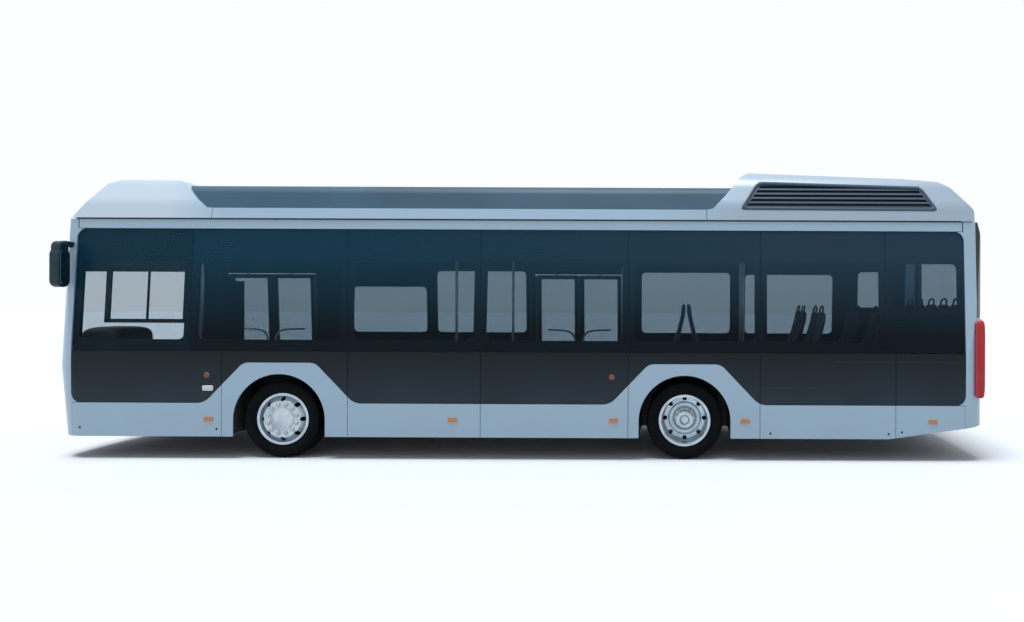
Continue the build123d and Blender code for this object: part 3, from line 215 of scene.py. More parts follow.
# Rear mask. A glass-fibre moulding bonded to the rear frame, in the same paint, with the upper rear face and
# its corners round the window sprayed gloss black.
BLACK_FROM, BLACK_ABOVE, PAINT_EDGE = 5.262, 1.640, 0.004
rear_paint = paint.copy()
rear_paint.name = "silver_and_black_rear_paint"
tree = rear_paint.node_tree
shader = tree.nodes["Principled BSDF"]
pale = shader.inputs["Base Color"].links[0].from_socket
axes = axes_of(tree)
back = ramp_up(tree, axes[0], BLACK_FROM, BLACK_FROM + PAINT_EDGE)
above = ramp_up(tree, axes[2], BLACK_ABOVE, BLACK_ABOVE + PAINT_EDGE)
black = math_of(tree, "MULTIPLY", back, above)
tree.links.new(blend(tree, black, pale, "15191D"), shader.inputs["Base Color"])
dress(rear_paint, "rear_mask")

# Chassis. Rails and cross members are welded steel under black underbody coating; the axle beams and knuckles
# are castings left in primer, with road dirt in their hollows.
chassis, tree, shader = finish("underbody_coated_steel", "34383C", 0.6)
mottle(tree, shader, "3D4144", "26292B", 120)
grain(tree, shader, 6.0, 0.15)
dress(chassis, "underframe", "wheel_boxes", "fuel_cell", "roof_battery")

casting, tree, shader = finish("primed_cast_iron", "3A3C3E", 0.7, metal=0.3)
mottle(tree, shader, "4A4A48", "2A2B2C", 60)
grain(tree, shader, 3.0, 0.2)
dress(casting, "front_axle", "rear_axle", "left_knuckle", "right_knuckle")

housing, tree, shader = finish("cast_aluminium_housing", "8F959A", 0.45, metal=0.8)
grain(tree, shader, 3.0, 0.12)
dress(housing, "traction_motor")

composite, tree, shader = finish("wound_carbon_composite", "232527", 0.4, coat=0.3)
grain(tree, shader, 9.0, 0.2, stretch=(0.2, 1, 1))
dress(composite, "hydrogen_tanks")

# Tyres. Moulded rubber on 22.5 inch rims: four grooves run round the tread, short sipes cut the shoulders,
# and the sidewalls carry fine raised rings. A turned surface of the CAD tyre's size replaces each.
HUB_Z, TYRE_R = 0.445, 0.445
TRACK, TWIN = 1.057, 0.308
TREAD_HALF, CROWN = 0.092, 0.004
TREAD_RIBS = [-TREAD_HALF, -0.080, -0.045, 0.0, 0.045, 0.080, TREAD_HALF]
GROOVES = np.array([-0.066, -0.023, 0.023, 0.066])
GROOVE_EDGES = np.array([-0.0055, -0.0035, 0.0035, 0.0055])
GROOVE_HALF, GROOVE_DEEP = 0.004, 0.011
SIPES, SIPE_STEPS, SIPE_DEEP = 72, 4, 0.008
SHOULDER_Y, SHOULDER_R = 0.072, 0.425
SIDEWALL_Y = [0.092, 0.0945, 0.101, 0.114, 0.1145, 0.127, 0.134,
              0.1372, 0.1378, 0.1365, 0.133, 0.128, 0.118, 0.106]
SIDEWALL_R = [0.281, 0.299, 0.306, 0.318, 0.322, 0.336, 0.350,
              0.366, 0.372, 0.390, 0.408, 0.420, 0.431, 0.437]


def quads(rows, columns, close_rows=False, close_columns=False):
    """Index table of a grid's four-sided faces, with the last row or column joined to the first if closed."""
    i = np.arange(rows if close_rows else rows - 1)
    j = np.arange(columns if close_columns else columns - 1)
    i, j = np.meshgrid(i, j, indexing="ij")
    k, l = (i + 1) % rows, (j + 1) % columns
    return np.stack([i * columns + j, k * columns + j, k * columns + l, i * columns + l], -1).reshape(-1, 4)


def mesh_of(name, parts, look, smooth=True):
    """One object at the origin from parts of points and faces. Each part is turned so that its faces' areas,
    times their reach outward from the part's middle, add up to more than nought."""
    points, faces, start = [], [], 0
    for p, f in parts:
        p = np.asarray(p, float).reshape(-1, 3)
        a, b, c, d = p[np.asarray(f)].transpose(1, 0, 2)
        reach = (np.cross(c - a, d - b) * ((a + b + c + d) / 4 - p.mean(0))).sum()
        points.append(p)
        faces.append(np.asarray(f)[:, ::1 if reach >= 0 else -1] + start)
        start += len(p)
    points, faces = np.concatenate(points), np.concatenate(faces)
    data = bpy.data.meshes.new(name)
    data.vertices.add(len(points))
    data.vertices.foreach_set("co", points.astype(np.float32).ravel())
    data.loops.add(faces.size)
    data.loops.foreach_set("vertex_index", faces.astype(np.int32).ravel())
    data.polygons.add(len(faces))
    data.polygons.foreach_set("loop_start", np.arange(len(faces), dtype=np.int32) * faces.shape[1])
    data.polygons.foreach_set("use_smooth", np.full(len(faces), smooth))
    data.update(calc_edges=True)
    data.validate()
    made = bpy.data.objects.new(name, data)
    bpy.context.scene.collection.objects.link(made)
    data.materials.append(look)
    return made


def turned_part(radius, across, steps, centre, close=False):
    """A profile of radius and place across, turned about a centre's cross axis: x = r cos a, z = r sin a."""
    a = np.linspace(0, 2 * np.pi, steps, endpoint=False)[:, None]
    r, y = np.broadcast_arrays(np.asarray(radius, float), np.asarray(across, float))
    if r.ndim == 1:
        r, y = np.broadcast_to(r, (steps, len(r))), np.broadcast_to(y, (steps, len(y)))
    p = np.stack([centre[0] + r * np.cos(a), centre[1] + y, centre[2] + r * np.sin(a)], -1)
    return p, quads(steps, r.shape[1], True, close)


def tyre_part(centre):
    """Tyre surface: the section runs from bead over sidewall, shoulder and tread, falling from the middle
    by the square of the place across; sipes dip the shoulder every five degrees."""
    tread = np.sort(np.concatenate([TREAD_RIBS, (GROOVES[:, None] + GROOVE_EDGES).ravel()]))
    depth = np.where(np.abs(tread[:, None] - GROOVES).min(1) < GROOVE_HALF, GROOVE_DEEP, 0.0)
    crown = TYRE_R - CROWN * (tread / TREAD_HALF) ** 2 - depth
    wall_y, wall_r = np.array(SIDEWALL_Y), np.array(SIDEWALL_R)
    y = np.concatenate([-wall_y, tread, wall_y[::-1]])
    r = np.concatenate([wall_r, crown, wall_r[::-1]])
    steps = SIPES * SIPE_STEPS
    shoulder = (np.abs(y) > SHOULDER_Y) & (r > SHOULDER_R)
    sipe = (np.arange(steps) % SIPE_STEPS == 0)[:, None] & shoulder[None]
    return turned_part(r - SIPE_DEEP * sipe, np.broadcast_to(y, (steps, len(y))), steps, centre, True)


rubber, tree, shader = finish("moulded_tyre_rubber", "080D11", 0.75, ior=1.52, gloss=0.08)
mottle(tree, shader, "0B1116", "060A0D", 90)
grain(tree, shader, 1.6, 0.08)
for side, sense in (("left", -1), ("right", 1)):
    tyre = mesh_of("front_%s_tyre_rubber" % side, [tyre_part((FRONT_AXLE, sense * TRACK, HUB_Z))], rubber)
    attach(tyre, "front_%s_wheel_body" % side)
    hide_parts("front_%s_tyre" % side)
    pair = [tyre_part((REAR_AXLE, sense * y, HUB_Z)) for y in (TRACK, TRACK - TWIN)]
    tyres = mesh_of("rear_%s_tyre_rubber" % side, pair, rubber)
    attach(tyres, "rear_%s_wheel_body" % side)
    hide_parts("rear_%s_tyres" % side)

# Wheels. Pressed steel discs painted silver; twelve capped nuts hold each front wheel and ten small ones each
# rear pair. Pressed caps close the hubs, and a pressed ring lies round the rear nuts.
WASHER = np.array([(0.0, 0.005), (0.023, 0.005), (0.0265, 0.003), (0.0265, -0.001)])
BARREL = np.array([(0.0, 0.017), (0.010, 0.0165), (0.0165, 0.015), (0.0195, 0.012), (0.0195, 0.0)])
FRONT_NUTS = {"radius": 0.168, "face": 0.118, "count": 12}
REAR_NUTS = {"radius": 0.107, "face": -0.100, "count": 10, "size": 0.62}
FRONT_CAP = [(0, 170), (28, 168), (54, 162), (78, 152), (98, 141),
             (118, 132), (130, 126), (134, 122), (135, 116)]
REAR_CAP = [(0, 74), (24, 72), (42, 64), (50, 54), (58, 48), (80, 44), (89, 38), (92, 20), (92, -112)]
REAR_RING = [(121, -118), (122, -90), (127, -82), (182, -80), (190, -87), (194, -104), (196, -116)]
silver, tree, shader = finish("silver_wheel_enamel", "C4D3DE", 0.26, metal=0.6)
mottle(tree, shader, "CBD8E2", "AEBECA", 140)
grain(tree, shader, 2.5, 0.04)
plated, tree, shader = finish("zinc_plated_steel", "A9AFB3", 0.3, metal=0.9)
grain(tree, shader, 2.0, 0.05)
dress(silver, "front_left_wheel", "front_right_wheel", "rear_left_wheels", "rear_right_wheels")


def wheel_nuts(centre, sense, radius, face, count, size=1.0):
    """Nuts on a ring: each is a washer and a capped, domed barrel, turned about its own cross axis."""
    parts = []
    for a in np.arange(count) * math.tau / count + math.pi / count:
        at = (centre[0] + radius * math.cos(a), centre[1], centre[2] + radius * math.sin(a))
        for profile, steps in ((WASHER, 16), (BARREL, 12)):
            r, y = size * profile.T
            parts.append(turned_part(r, sense * (face + y), steps, at))
    return parts


def dish(centre, sense, profile):
    """Pressed part turned from a short profile of radius and place across, in millimetres."""
    r, y = np.array(profile).T / 1000
    return turned_part(r, sense * y, 64, centre)


for side, sense in (("left", -1), ("right", 1)):
    for axle, x, nuts, caps in (("front", FRONT_AXLE, FRONT_NUTS, [FRONT_CAP]),
                                ("rear", REAR_AXLE, REAR_NUTS, [REAR_CAP, REAR_RING])):
        centre = (x, sense * TRACK, HUB_Z)
        ring = wheel_nuts(centre, sense, **nuts)
        dishes = [dish(centre, sense, profile) for profile in caps]
        for name, parts, look, smooth, slot in (("wheel_nuts", ring, plated, False, "rail_steel"),
                                                ("hub_cap", dishes, silver, True, "wheel_alloy")):
            piece = mesh_of("%s_%s_%s" % (axle, side, name), parts, look, smooth)
            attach(piece, "%s_%s_wheel_body" % (axle, side))

# Floor. Speckled vinyl is glued over plywood screwed to the underframe; the rear platform and its step are
# covered in the same.
SPECK_MM, SPECK_EDGE = 9, (0.12, 0.2)
vinyl, tree, shader = finish("speckled_floor_vinyl", "3A4046", 0.6)
place = add(tree, "ShaderNodeTexCoord")
speck = add(tree, "ShaderNodeTexVoronoi", {"Vector": place.outputs["Object"], "Scale": 1000 / SPECK_MM})
ramp = add(tree, "ShaderNodeValToRGB", {0: speck.outputs["Distance"]})
ramp.color_ramp.elements[0].position = SPECK_EDGE[0]
ramp.color_ramp.elements[0].color = linear("5E656B")
ramp.color_ramp.elements[1].position = SPECK_EDGE[1]
ramp.color_ramp.elements[1].color = linear("343A40")
tree.links.new(ramp.outputs[0], shader.inputs["Base Color"])
dress(vinyl, "floor_deck", "rear_platform")

# Body sides. Aluminium framing, bolted to the underframe, is lined inside with grained dark laminate and
# painted black behind the glass.
lining, tree, shader = finish("grained_wall_laminate", "122530", 0.6, gloss=0.2)
mottle(tree, shader, "152A36", "10212B", 600)
grain(tree, shader, 40.0, 0.05, detail=1.0)
dress(lining, "left_wall", "right_wall", "cab_partition")

# Waist panels. Flat black panels, bonded to the framing under the glass and lacquered to a deep gloss; a
# painted reflection of the ground makes them paler towards the skirts, in soft clouds.
PAINTED_REFLECTION_TOP, PAINTED_REFLECTION_FOOT = 1.20, 0.70
lacquer, tree, shader = finish("black_lacquered_panel_with_painted_reflection", "1A2631", 0.14, gloss=0.18)
grain(tree, shader, 5.0, 0.01)
# painted reflection: paler towards the skirts, in soft clouds
painted_reflection = ramp_up(tree, axes_of(tree)[2], PAINTED_REFLECTION_TOP, PAINTED_REFLECTION_FOOT)
painted_reflection = math_of(tree, "MULTIPLY", painted_reflection, clouds(tree, 900, 4.0))
tree.links.new(blend(tree, painted_reflection, "0D1820", "2F4252"), shader.inputs["Base Color"])
dress(lacquer, "waist_bands")

# Side fittings. Quarter-turn locks close the service flaps, an oval clear indicator sits ahead of the front
# wheel, and round red plugs cover the outside release taps; each is fixed through the panel it sits on.
HALF_WIDTH, WAIST, LEAN_HIGH, LEAN_IN = 1.25, 1.23, 1.515, 0.1
TAP_R, TAP_PROUD, LOCK_R, LOCK_PROUD = 0.034, 0.006, 0.013, 0.003
TAPS = ((1.865, 0.956, -1), (1.865, 0.956, 1), (6.488, 0.948, -1))
LOCKS = ((0.42, 0.355, -1), (1.98, 0.34, -1), (8.30, 0.315, -1), (9.65, 0.315, -1), (9.80, 0.335, -1),
         (2.16, 0.34, 1), (3.35, 0.34, 1), (8.30, 0.315, 1), (9.65, 0.315, 1))
INDICATOR, INDICATOR_HALF = (FRONT + 1.88, -1.252, 0.807), (0.062, 0.010, 0.031)


def side_y(z):
    """Half width of the body at a height: upright to the waist, then leaning in 100 mm to the roof edge."""
    return HALF_WIDTH - LEAN_IN * np.clip((np.asarray(z, float) - WAIST) / LEAN_HIGH, 0, 1)


def power(c, e):
    """Signed power of a cosine or sine, which squares a circle as the exponent falls."""
    return np.sign(c) * np.abs(c) ** e


def pebble(centre, half, e_up=0.3, e_plan=0.3, rows=13, columns=28):
    """Superellipsoid: x and y are powers of the turn's cosine and sine times that of the rise, and z is
    the power of the rise's sine."""
    v = np.linspace(-np.pi / 2, np.pi / 2, rows)[:, None]
    u = np.linspace(0, 2 * np.pi, columns, endpoint=False)[None]
    ring = power(np.cos(v), e_up)
    p = np.stack(np.broadcast_arrays(centre[0] + half[0] * ring * power(np.cos(u), e_plan),
                                     centre[1] + half[1] * ring * power(np.sin(u), e_plan),
                                     centre[2] + half[2] * power(np.sin(v), e_up)), -1)
    return p, quads(rows, columns, False, True)[:, ::-1]


def button(s, z, side, radius, proud):
    """Round domed plug on a body side, turned about the cross axis."""
    r = radius * np.array([0.0, 0.55, 0.86, 0.97, 1.0])
    y = side * (side_y(z) + proud * np.array([1.0, 0.93, 0.72, 0.4, -0.05]))
    return turned_part(r, y, 28, (FRONT + s, 0.0, z))


dull_red, tree, shader = finish("moulded_red_plastic", "7E4A4A", 0.45)
grain(tree, shader, 2.0, 0.05)
clear, tree, shader = finish("clear_moulded_acrylic", "DCE3E8", 0.12, ior=1.49, coat=0.3)
grain(tree, shader, 9.0, 0.25, detail=0.0)
dark, tree, shader = finish("dark_moulded_plastic", "16242C", 0.5, gloss=0.3)
mottle(tree, shader, "1A2A33", "122029", 60)
grain(tree, shader, 1.5, 0.06)
taps = [button(s, z, side, TAP_R, TAP_PROUD) for s, z, side in TAPS]
locks = [button(s, z, side, LOCK_R, LOCK_PROUD) for s, z, side in LOCKS]
indicators = [pebble(INDICATOR, INDICATOR_HALF, 0.35, 0.35)]
for name, parts, look, slot in (("release_tap_covers", taps, dull_red, "lamp_red"),
                                ("flap_locks", locks, dark, "black_plastic"),
                                ("side_indicators", indicators, clear, "lamp_clear")):
    piece = mesh_of(name, parts, look)
    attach(piece, "bus_body")

# Flap joints and roof seal. Rubber fills the shut lines of the rear service flap, and a flat rubber strip is
# pressed into the joint under the fairings.
STRIP_R = 0.0015
FLAP_JOINTS = ((8.184, 9.728, 0.836, 0.004), (9.03, 10.50, 1.130, 0.003))
JOINT_PROUD, SEAL_PROUD = -0.0005, 0.0085
ROOF_SEAL = (0.30, 10.50, 2.7510, 0.0085)


def tube(path, radius, sides=10, flat=1.0):
    """Round bar along a path: each ring stands square to the path's direction, found from its neighbours."""
    path = np.asarray(path, float)
    way = np.gradient(path, axis=0)
    way /= np.linalg.norm(way, axis=1)[:, None]
    side = np.cross(way, np.where(np.abs(way[:, 2:]) > 0.9, [[1.0, 0, 0]], [[0, 0, 1.0]]))
    side /= np.linalg.norm(side, axis=1)[:, None]
    up = np.cross(side, way)
    a = np.linspace(0, 2 * np.pi, sides, endpoint=False)[None, :, None]
    r = np.broadcast_to(np.asarray(radius, float), (len(path),))[:, None, None]
    p = path[:, None] + r * (np.cos(a) * side[:, None] + flat * np.sin(a) * up[:, None])
    ends = np.concatenate([path[:1, None].repeat(sides, 1), p, path[-1:, None].repeat(sides, 1)])
    return ends, quads(len(path) + 2, sides, False, True)[:, ::-1]


def smooth_path(points, steps=24):
    """Rounded route through a few corner points: a quadratic B-spline that starts and ends on them."""
    p = np.asarray(points, float)
    p = np.concatenate([2 * p[:1] - p[1:2], p, 2 * p[-1:] - p[-2:-1]])
    t = np.linspace(0, 1, steps, endpoint=False)[:, None]
    runs = [0.5 * ((1 - t) ** 2 * p[i] + (1 + 2 * t - 2 * t * t) * p[i + 1] + t * t * p[i + 2])
            for i in range(len(p) - 2)]
    return np.concatenate(runs + [0.5 * (p[-2:-1] + p[-1:])])


def side_strip(s0, s1, z, high, proud, side=-1):
    """Thin rubber strip along a body side: a round bar pressed flat against the skin."""
    s = np.linspace(s0, s1, 40)
    path = np.stack([FRONT + s, np.full_like(s, side * (float(side_y(z)) + proud)), np.full_like(s, z)], -1)
    return tube(path, STRIP_R, 8, high / STRIP_R)


strips = [side_strip(*joint, JOINT_PROUD) for joint in FLAP_JOINTS]
strips += [side_strip(*ROOF_SEAL, SEAL_PROUD, side) for side in (-1, 1)]
piece = mesh_of("flap_joints_and_roof_seal", strips, dark)
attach(piece, "bus_body")

# Glass. Laminated windscreen and blue-green tinted side panes, 8 mm thick, bonded flush over the black frame.
# The cab's panes are the clearest; a painted reflection darkens the side and rear panes towards their lower
# edge.
PANE_TINT = (0.885, 0.955, 1.0, 1.0)
CAB_END, CAB_EDGE, CAB_SHARE, PANE_SHARE = -3.750, 0.002, 0.20, 0.355
TINT_ALONG, PAINTED_REFLECTION_UP = (-2.5, 3.0), (1.45, 2.35)


def clear_through(tree, shader, share):
    """Makes a pane see-through: its own shader, by a share, mixed with tinted transparency for the rest."""
    behind = add(tree, "ShaderNodeBsdfTransparent", {"Color": PANE_TINT})
    mixed = add(tree, "ShaderNodeMixShader", {0: share, 1: behind.outputs[0], 2: shader.outputs[0]})
    tree.links.new(mixed.outputs[0], tree.nodes["Material Output"].inputs["Surface"])


tinted, tree, shader = finish("tinted_safety_glass_with_painted_reflection", "1A4258", 0.03, ior=1.52, gloss=0.14)
axes = axes_of(tree)
upper = blend(tree, ramp_up(tree, axes[0], *TINT_ALONG), "175570", "365A73")
# painted reflection: the panes darken towards their lower edge
tone = blend(tree, ramp_up(tree, axes[2], *PAINTED_REFLECTION_UP), "07171F", upper)
tree.links.new(tone, shader.inputs["Base Color"])
clear_through(tree, shader, ramp_up(tree, axes[0], CAB_END, CAB_END + CAB_EDGE, CAB_SHARE, PANE_SHARE))
dress(tinted, "side_glazing", "rear_window")
laminated, tree, shader = finish("laminated_windscreen_glass", "23424F", 0.02, ior=1.52, gloss=0.4)
shader.inputs["Alpha"].default_value = 0.16
dress(laminated, "windscreen")

# Driver's window. A black aluminium frame with two sliding panes sits behind the first side pane, screwed to
# the body's framing.
WINDOW_HEAD, HEAD_FOOT, SLIDER_FOOT, SLIDER_SILL = 2.27, 2.135, 1.548, 0.045
FRAME_INSET, FRAME_THICK = 0.018, 0.022
FRAME_BARS = ((0.661, 0.719, SLIDER_FOOT, WINDOW_HEAD), (1.139, 1.155, SLIDER_FOOT, WINDOW_HEAD),
              (0.661, 1.590, SLIDER_FOOT, SLIDER_FOOT + SLIDER_SILL),
              (1.560, 1.600, SLIDER_FOOT, WINDOW_HEAD), (0.380, 1.600, HEAD_FOOT, WINDOW_HEAD))
anodised, tree, shader = finish("black_anodised_aluminium", "17191B", 0.4, metal=0.4)
grain(tree, shader, 2.0, 0.04)


def wall_bar(s0, s1, z0, z1, inset, thick):
    """Flat bar that follows the left side's lean: four corners, carried from one end to the other."""
    corner = np.array([[s0, z0], [s1, z0], [s1, z1], [s0, z1]])
    outer = np.stack([FRONT + corner[:, 0], -side_y(corner[:, 1]) + inset, corner[:, 1]], -1)
    inner = outer + np.array([0, thick, 0])
    p = np.concatenate([outer, inner])
    f = np.array([[0, 1, 2, 3], [7, 6, 5, 4], [1, 0, 4, 5], [2, 1, 5, 6], [3, 2, 6, 7], [0, 3, 7, 4]])
    return p, f


frame_bars = [wall_bar(*bar, FRAME_INSET, FRAME_THICK) for bar in FRAME_BARS]
piece = mesh_of("drivers_window_frame", frame_bars, anodised, False)
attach(piece, "bus_body")

# Wipers and front display. Two arms on pivots in the front mask sweep the windscreen; a dark display box
# hangs from the roof behind its top edge.
SCREEN_FOOT, SCREEN_BOW, SCREEN_RAKE = 1.06, 0.09, 0.058
WIPERS, WIPER_STEPS = ((-0.86, 0.02), (0.10, 0.95)), 24
ARM_Z, ARM_RISE, BLADE_Z, PIVOT_Z = 1.01, 0.035, 1.055, 1.005
ARM_PROUD, BLADE_PROUD, ARM_R, BLADE_R, BLADE_FLAT = 0.020, 0.012, (0.011, 0.007), 0.008, 1.6
BLADE_PAST, PIVOT_HALF = (0.02, 0.08), (0.022, 0.03, 0.03)
DISPLAY_HALF, DISPLAY_FOOT, DISPLAY_TOP = 0.93, 2.30, 2.56
DISPLAY_NEAR, DISPLAY_FAR = 0.06, 0.13


def front_x(y, z=SCREEN_FOOT):
    """Front of the body: an arc that falls back 90 mm at the corners,
    and 58 mm more for each metre above 1.06 m."""
    bow = SCREEN_BOW * (np.asarray(y, float) / HALF_WIDTH) ** 2
    return FRONT + bow + SCREEN_RAKE * np.maximum(np.asarray(z, float) - SCREEN_FOOT, 0)


parts = []
for pivot, tip in WIPERS:
    y = np.linspace(pivot, tip, WIPER_STEPS)
    z = ARM_Z + ARM_RISE * np.sin(np.linspace(0, np.pi, WIPER_STEPS))
    parts.append(tube(np.stack([front_x(y) - ARM_PROUD, y, z], -1), np.linspace(*ARM_R, WIPER_STEPS), 8))
    y = np.linspace(pivot - BLADE_PAST[0], tip + BLADE_PAST[1], WIPER_STEPS)
    blade = np.stack([front_x(y) - BLADE_PROUD, y, np.full_like(y, BLADE_Z)], -1)
    parts.append(tube(blade, BLADE_R, 8, BLADE_FLAT))
    parts.append(pebble((front_x(pivot) - BLADE_PROUD, pivot, PIVOT_Z), PIVOT_HALF, 0.5, 0.5))
piece = mesh_of("windscreen_wipers", parts, dark)
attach(piece, "bus_body")
y = np.linspace(-DISPLAY_HALF, DISPLAY_HALF, 40)[:, None]
z = np.array([DISPLAY_FOOT, DISPLAY_TOP, DISPLAY_TOP, DISPLAY_FOOT])[None]
behind = np.array([DISPLAY_NEAR, DISPLAY_NEAR, DISPLAY_FAR, DISPLAY_FAR])
box = np.stack(np.broadcast_arrays(front_x(y, z) + behind, y, z), -1)
near, far = (end.mean(1, keepdims=True).repeat(4, 1) for end in (box[:1], box[-1:]))
box = np.concatenate([near, box, far])
piece = mesh_of("front_display_box", [(box, quads(len(box), 4, False, True))], dark, False)
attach(piece, "bus_body")

# Door leaves. Each leaf is a black aluminium frame round one bonded pane, with a rubber finger guard down its
# meeting edge and a steel grab rail inside; it glides in on the arms of its pillar.
LEAF_FOOT, LEAF_TOP, LEAF_RIM, LEAF_SILL = 0.376, 2.2, 0.062, 0.09
LEAF_SHARE = 0.36
RAIL_R, RAIL_Y, RAIL_Z, RAIL_FOOT = 0.0145, 1.150, 1.40, 0.80
RAIL_JAMB, RAIL_MEET, RAIL_FOOT_Y = 0.17, 0.03, 1.208
JAMB_GAP, JAMB_IN, JAMB_R, JAMB_FLAT = 0.0165, 0.018, 0.0055, 2.2
GUARD_GAP, GUARD_IN, GUARD_R, GUARD_FLAT = 0.0005, 0.020, 0.0028, 4.5
EDGE_END, EDGE_STEPS = 0.01, 40


def leaf_finish(name, x0, x1, z0, z1):
    """Black frame with a clear pane: inside the pane's rectangle the surface turns to tinted, clear glass."""
    made, tree, shader = finish(name, "172027", 0.3, ior=1.52, gloss=0.2)
    axes = axes_of(tree)
    inside = []
    for axis, low, high in ((0, x0, x1), (2, z0, z1)):
        off = math_of(tree, "ABSOLUTE", math_of(tree, "SUBTRACT", axes[axis], (low + high) / 2))
        inside.append(math_of(tree, "LESS_THAN", off, (high - low) / 2))
    pane = math_of(tree, "MULTIPLY", *inside)
    tree.links.new(blend(tree, pane, "172027", "143848"), shader.inputs["Base Color"])
    clear_through(tree, shader, ramp_up(tree, pane, 0.0, 1.0, 1.0, LEAF_SHARE))
    tree.links.new(ramp_up(tree, pane, 0.0, 1.0, 0.35, 0.03), shader.inputs["Roughness"])
    return made


steel, tree, shader = finish("brushed_stainless_steel", "B4B9BD", 0.32, metal=0.95)
grain(tree, shader, 1.5, 0.03, stretch=(1, 1, 0.05))
seal, tree, shader = finish("extruded_rubber_seal", "141516", 0.65)
grain(tree, shader, 1.5, 0.06)
jambs = []
for door in ("front_door", "mid_door"):
    for leaf, sense in (("front_leaf", 1), ("rear_leaf", -1)):
        name = door + "_" + leaf
        low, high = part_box(name)
        look = leaf_finish(name + "_glazed_frame", low.x + LEAF_RIM, high.x - LEAF_RIM,
                           LEAF_FOOT + LEAF_SILL, LEAF_TOP - LEAF_RIM)
        dress(look, name)
        dress(dark, name + "_arms")
        jamb, meet = (low.x, high.x) if sense > 0 else (high.x, low.x)
        head, tail = jamb + sense * RAIL_JAMB, meet - sense * RAIL_MEET
        rail = smooth_path([(head, side_y(RAIL_Z) - 0.040, RAIL_Z), (head, RAIL_Y + 0.010, RAIL_Z),
                            (jamb + sense * 0.30, RAIL_Y, RAIL_Z),
                            (meet - sense * 0.10, RAIL_Y, RAIL_Z - 0.02),
                            (meet - sense * 0.035, RAIL_Y, RAIL_Z - 0.16), (tail, RAIL_Y, RAIL_FOOT + 0.02),
                            (tail, RAIL_FOOT_Y, RAIL_FOOT)])
        piece = mesh_of(name + "_grab_rail", [tube(rail, RAIL_R, 10)], steel)
        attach(piece, name + "_body")
        z = np.linspace(LEAF_FOOT + EDGE_END, LEAF_TOP - EDGE_END, EDGE_STEPS)
        edge = np.stack([np.full_like(z, jamb - sense * JAMB_GAP), side_y(z) - JAMB_IN, z], -1)
        jambs.append(tube(edge, JAMB_R, 8, JAMB_FLAT))
        edge = np.stack([np.full_like(z, meet + sense * GUARD_GAP), side_y(z) - GUARD_IN, z], -1)
        piece = mesh_of(name + "_finger_guard", [tube(edge, GUARD_R, 8, GUARD_FLAT)], seal)
        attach(piece, name + "_body")

piece = mesh_of("door_jamb_seals", jambs, seal)
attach(piece, "bus_body")

# Roof. A dark sheet cowl covers the hydrogen tanks; slotted grey grilles in the rear fairing let air to the
# cell. A dark sheet behind each grille is painted shade in the slots; a pressed surround is riveted round it.
FAIRING_Y, FAIRING_Z, FAIRING_IN = 1.158, (2.759, 2.95, 3.23, 3.42), (0.0, 0.045, 0.19, 0.42)
SCREEN_Z, SCREEN_S, SCREEN_BEHIND = (2.88, 3.24), (7.93, 10.26), 0.034
SCREEN_SLANT, SCREEN_TAPER, SCREEN_ROWS, SCREEN_COLUMNS = 0.66, 1.7, 13, 24
GRILLE = ((8.165, 3.238), (10.085, 3.176), (10.252, 2.873), (7.945, 2.880))
GRILLE_CORNER, LOOP_STEPS = 0.055, 240
SURROUND = ((0.0, -0.004), (0.004, 0.004), (0.036, 0.004), (0.041, -0.014))
cowl, tree, shader = finish("satin_cowl_paint", "35566B", 0.5, gloss=0.25)
mottle(tree, shader, "385A70", "325166", 700)
grain(tree, shader, 5.0, 0.02)
dress(cowl, "tank_cowl")
grille, tree, shader = finish("satin_grille_enamel", "46596D", 0.5, gloss=0.25)
grain(tree, shader, 2.0, 0.05)
dress(grille, "roof_grilles")
# painted shade: dark sheets behind the grille slots
z = np.linspace(*SCREEN_Z, SCREEN_ROWS)[:, None]
s = np.linspace(*SCREEN_S, SCREEN_COLUMNS)[None]
mesh_y = FAIRING_Y - np.interp(z, FAIRING_Z[:3], FAIRING_IN[:3]) - SCREEN_BEHIND
inset = SCREEN_SLANT * (z - SCREEN_Z[0])
spread = 1 - SCREEN_TAPER * (s - SCREEN_S[0]) / (SCREEN_S[1] - SCREEN_S[0])
screens = []
for side in (-1, 1):
    grid = np.stack(np.broadcast_arrays(FRONT + s + inset * spread, side * mesh_y, z), -1)
    screens.append((grid, quads(SCREEN_ROWS, SCREEN_COLUMNS, False, False)[:, ::side]))
piece = mesh_of("grille_painted_shade_sheets", screens, dark)
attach(piece, "bus_body")


def rounded_loop(corners, margin, radius, steps=LOOP_STEPS):
    """Rounded four-sided loop: quarter circles, stepped evenly along their length, set at the corners."""
    corners = np.asarray(corners, float)
    half = np.array([np.ptp(corners[:, 0]), np.ptp(corners[:, 1])]) / 2
    turn = np.linspace(0, np.pi / 2, 9)[None] + np.pi / 2 * np.arange(4)[:, None]
    sign = np.array([[1, 1], [-1, 1], [-1, -1], [1, -1]])[:, None]
    arc = radius * np.stack([np.cos(turn), np.sin(turn)], -1)
    ring = (sign * (half - margin - radius) + arc).reshape(-1, 2)
    ring = np.concatenate([ring, ring[:1]])
    run = np.concatenate([[0], np.cumsum(np.linalg.norm(np.diff(ring, axis=0), axis=1))])
    at = np.linspace(0, run[-1], steps, endpoint=False)
    even = np.stack([np.interp(at, run, ring[:, 0]), np.interp(at, run, ring[:, 1])])
    u, v = (even / half[:, None] + 1) / 2
    low = corners[3] + u[:, None] * (corners[2] - corners[3])
    return low + v[:, None] * (corners[0] + u[:, None] * (corners[1] - corners[0]) - low)


surrounds = []
for side in (-1, 1):
    columns = []
    for margin, proud in SURROUND:
        at = rounded_loop(GRILLE, margin, GRILLE_CORNER)
        skin = FAIRING_Y - np.interp(at[:, 1], FAIRING_Z, FAIRING_IN)
        columns.append(np.stack([FRONT + at[:, 0], side * (skin + proud), at[:, 1]], -1))
    surrounds.append((np.stack(columns, 1), quads(LOOP_STEPS, len(SURROUND), True, False)))
piece = mesh_of("grille_surrounds", surrounds, grille)
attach(piece, "bus_body")

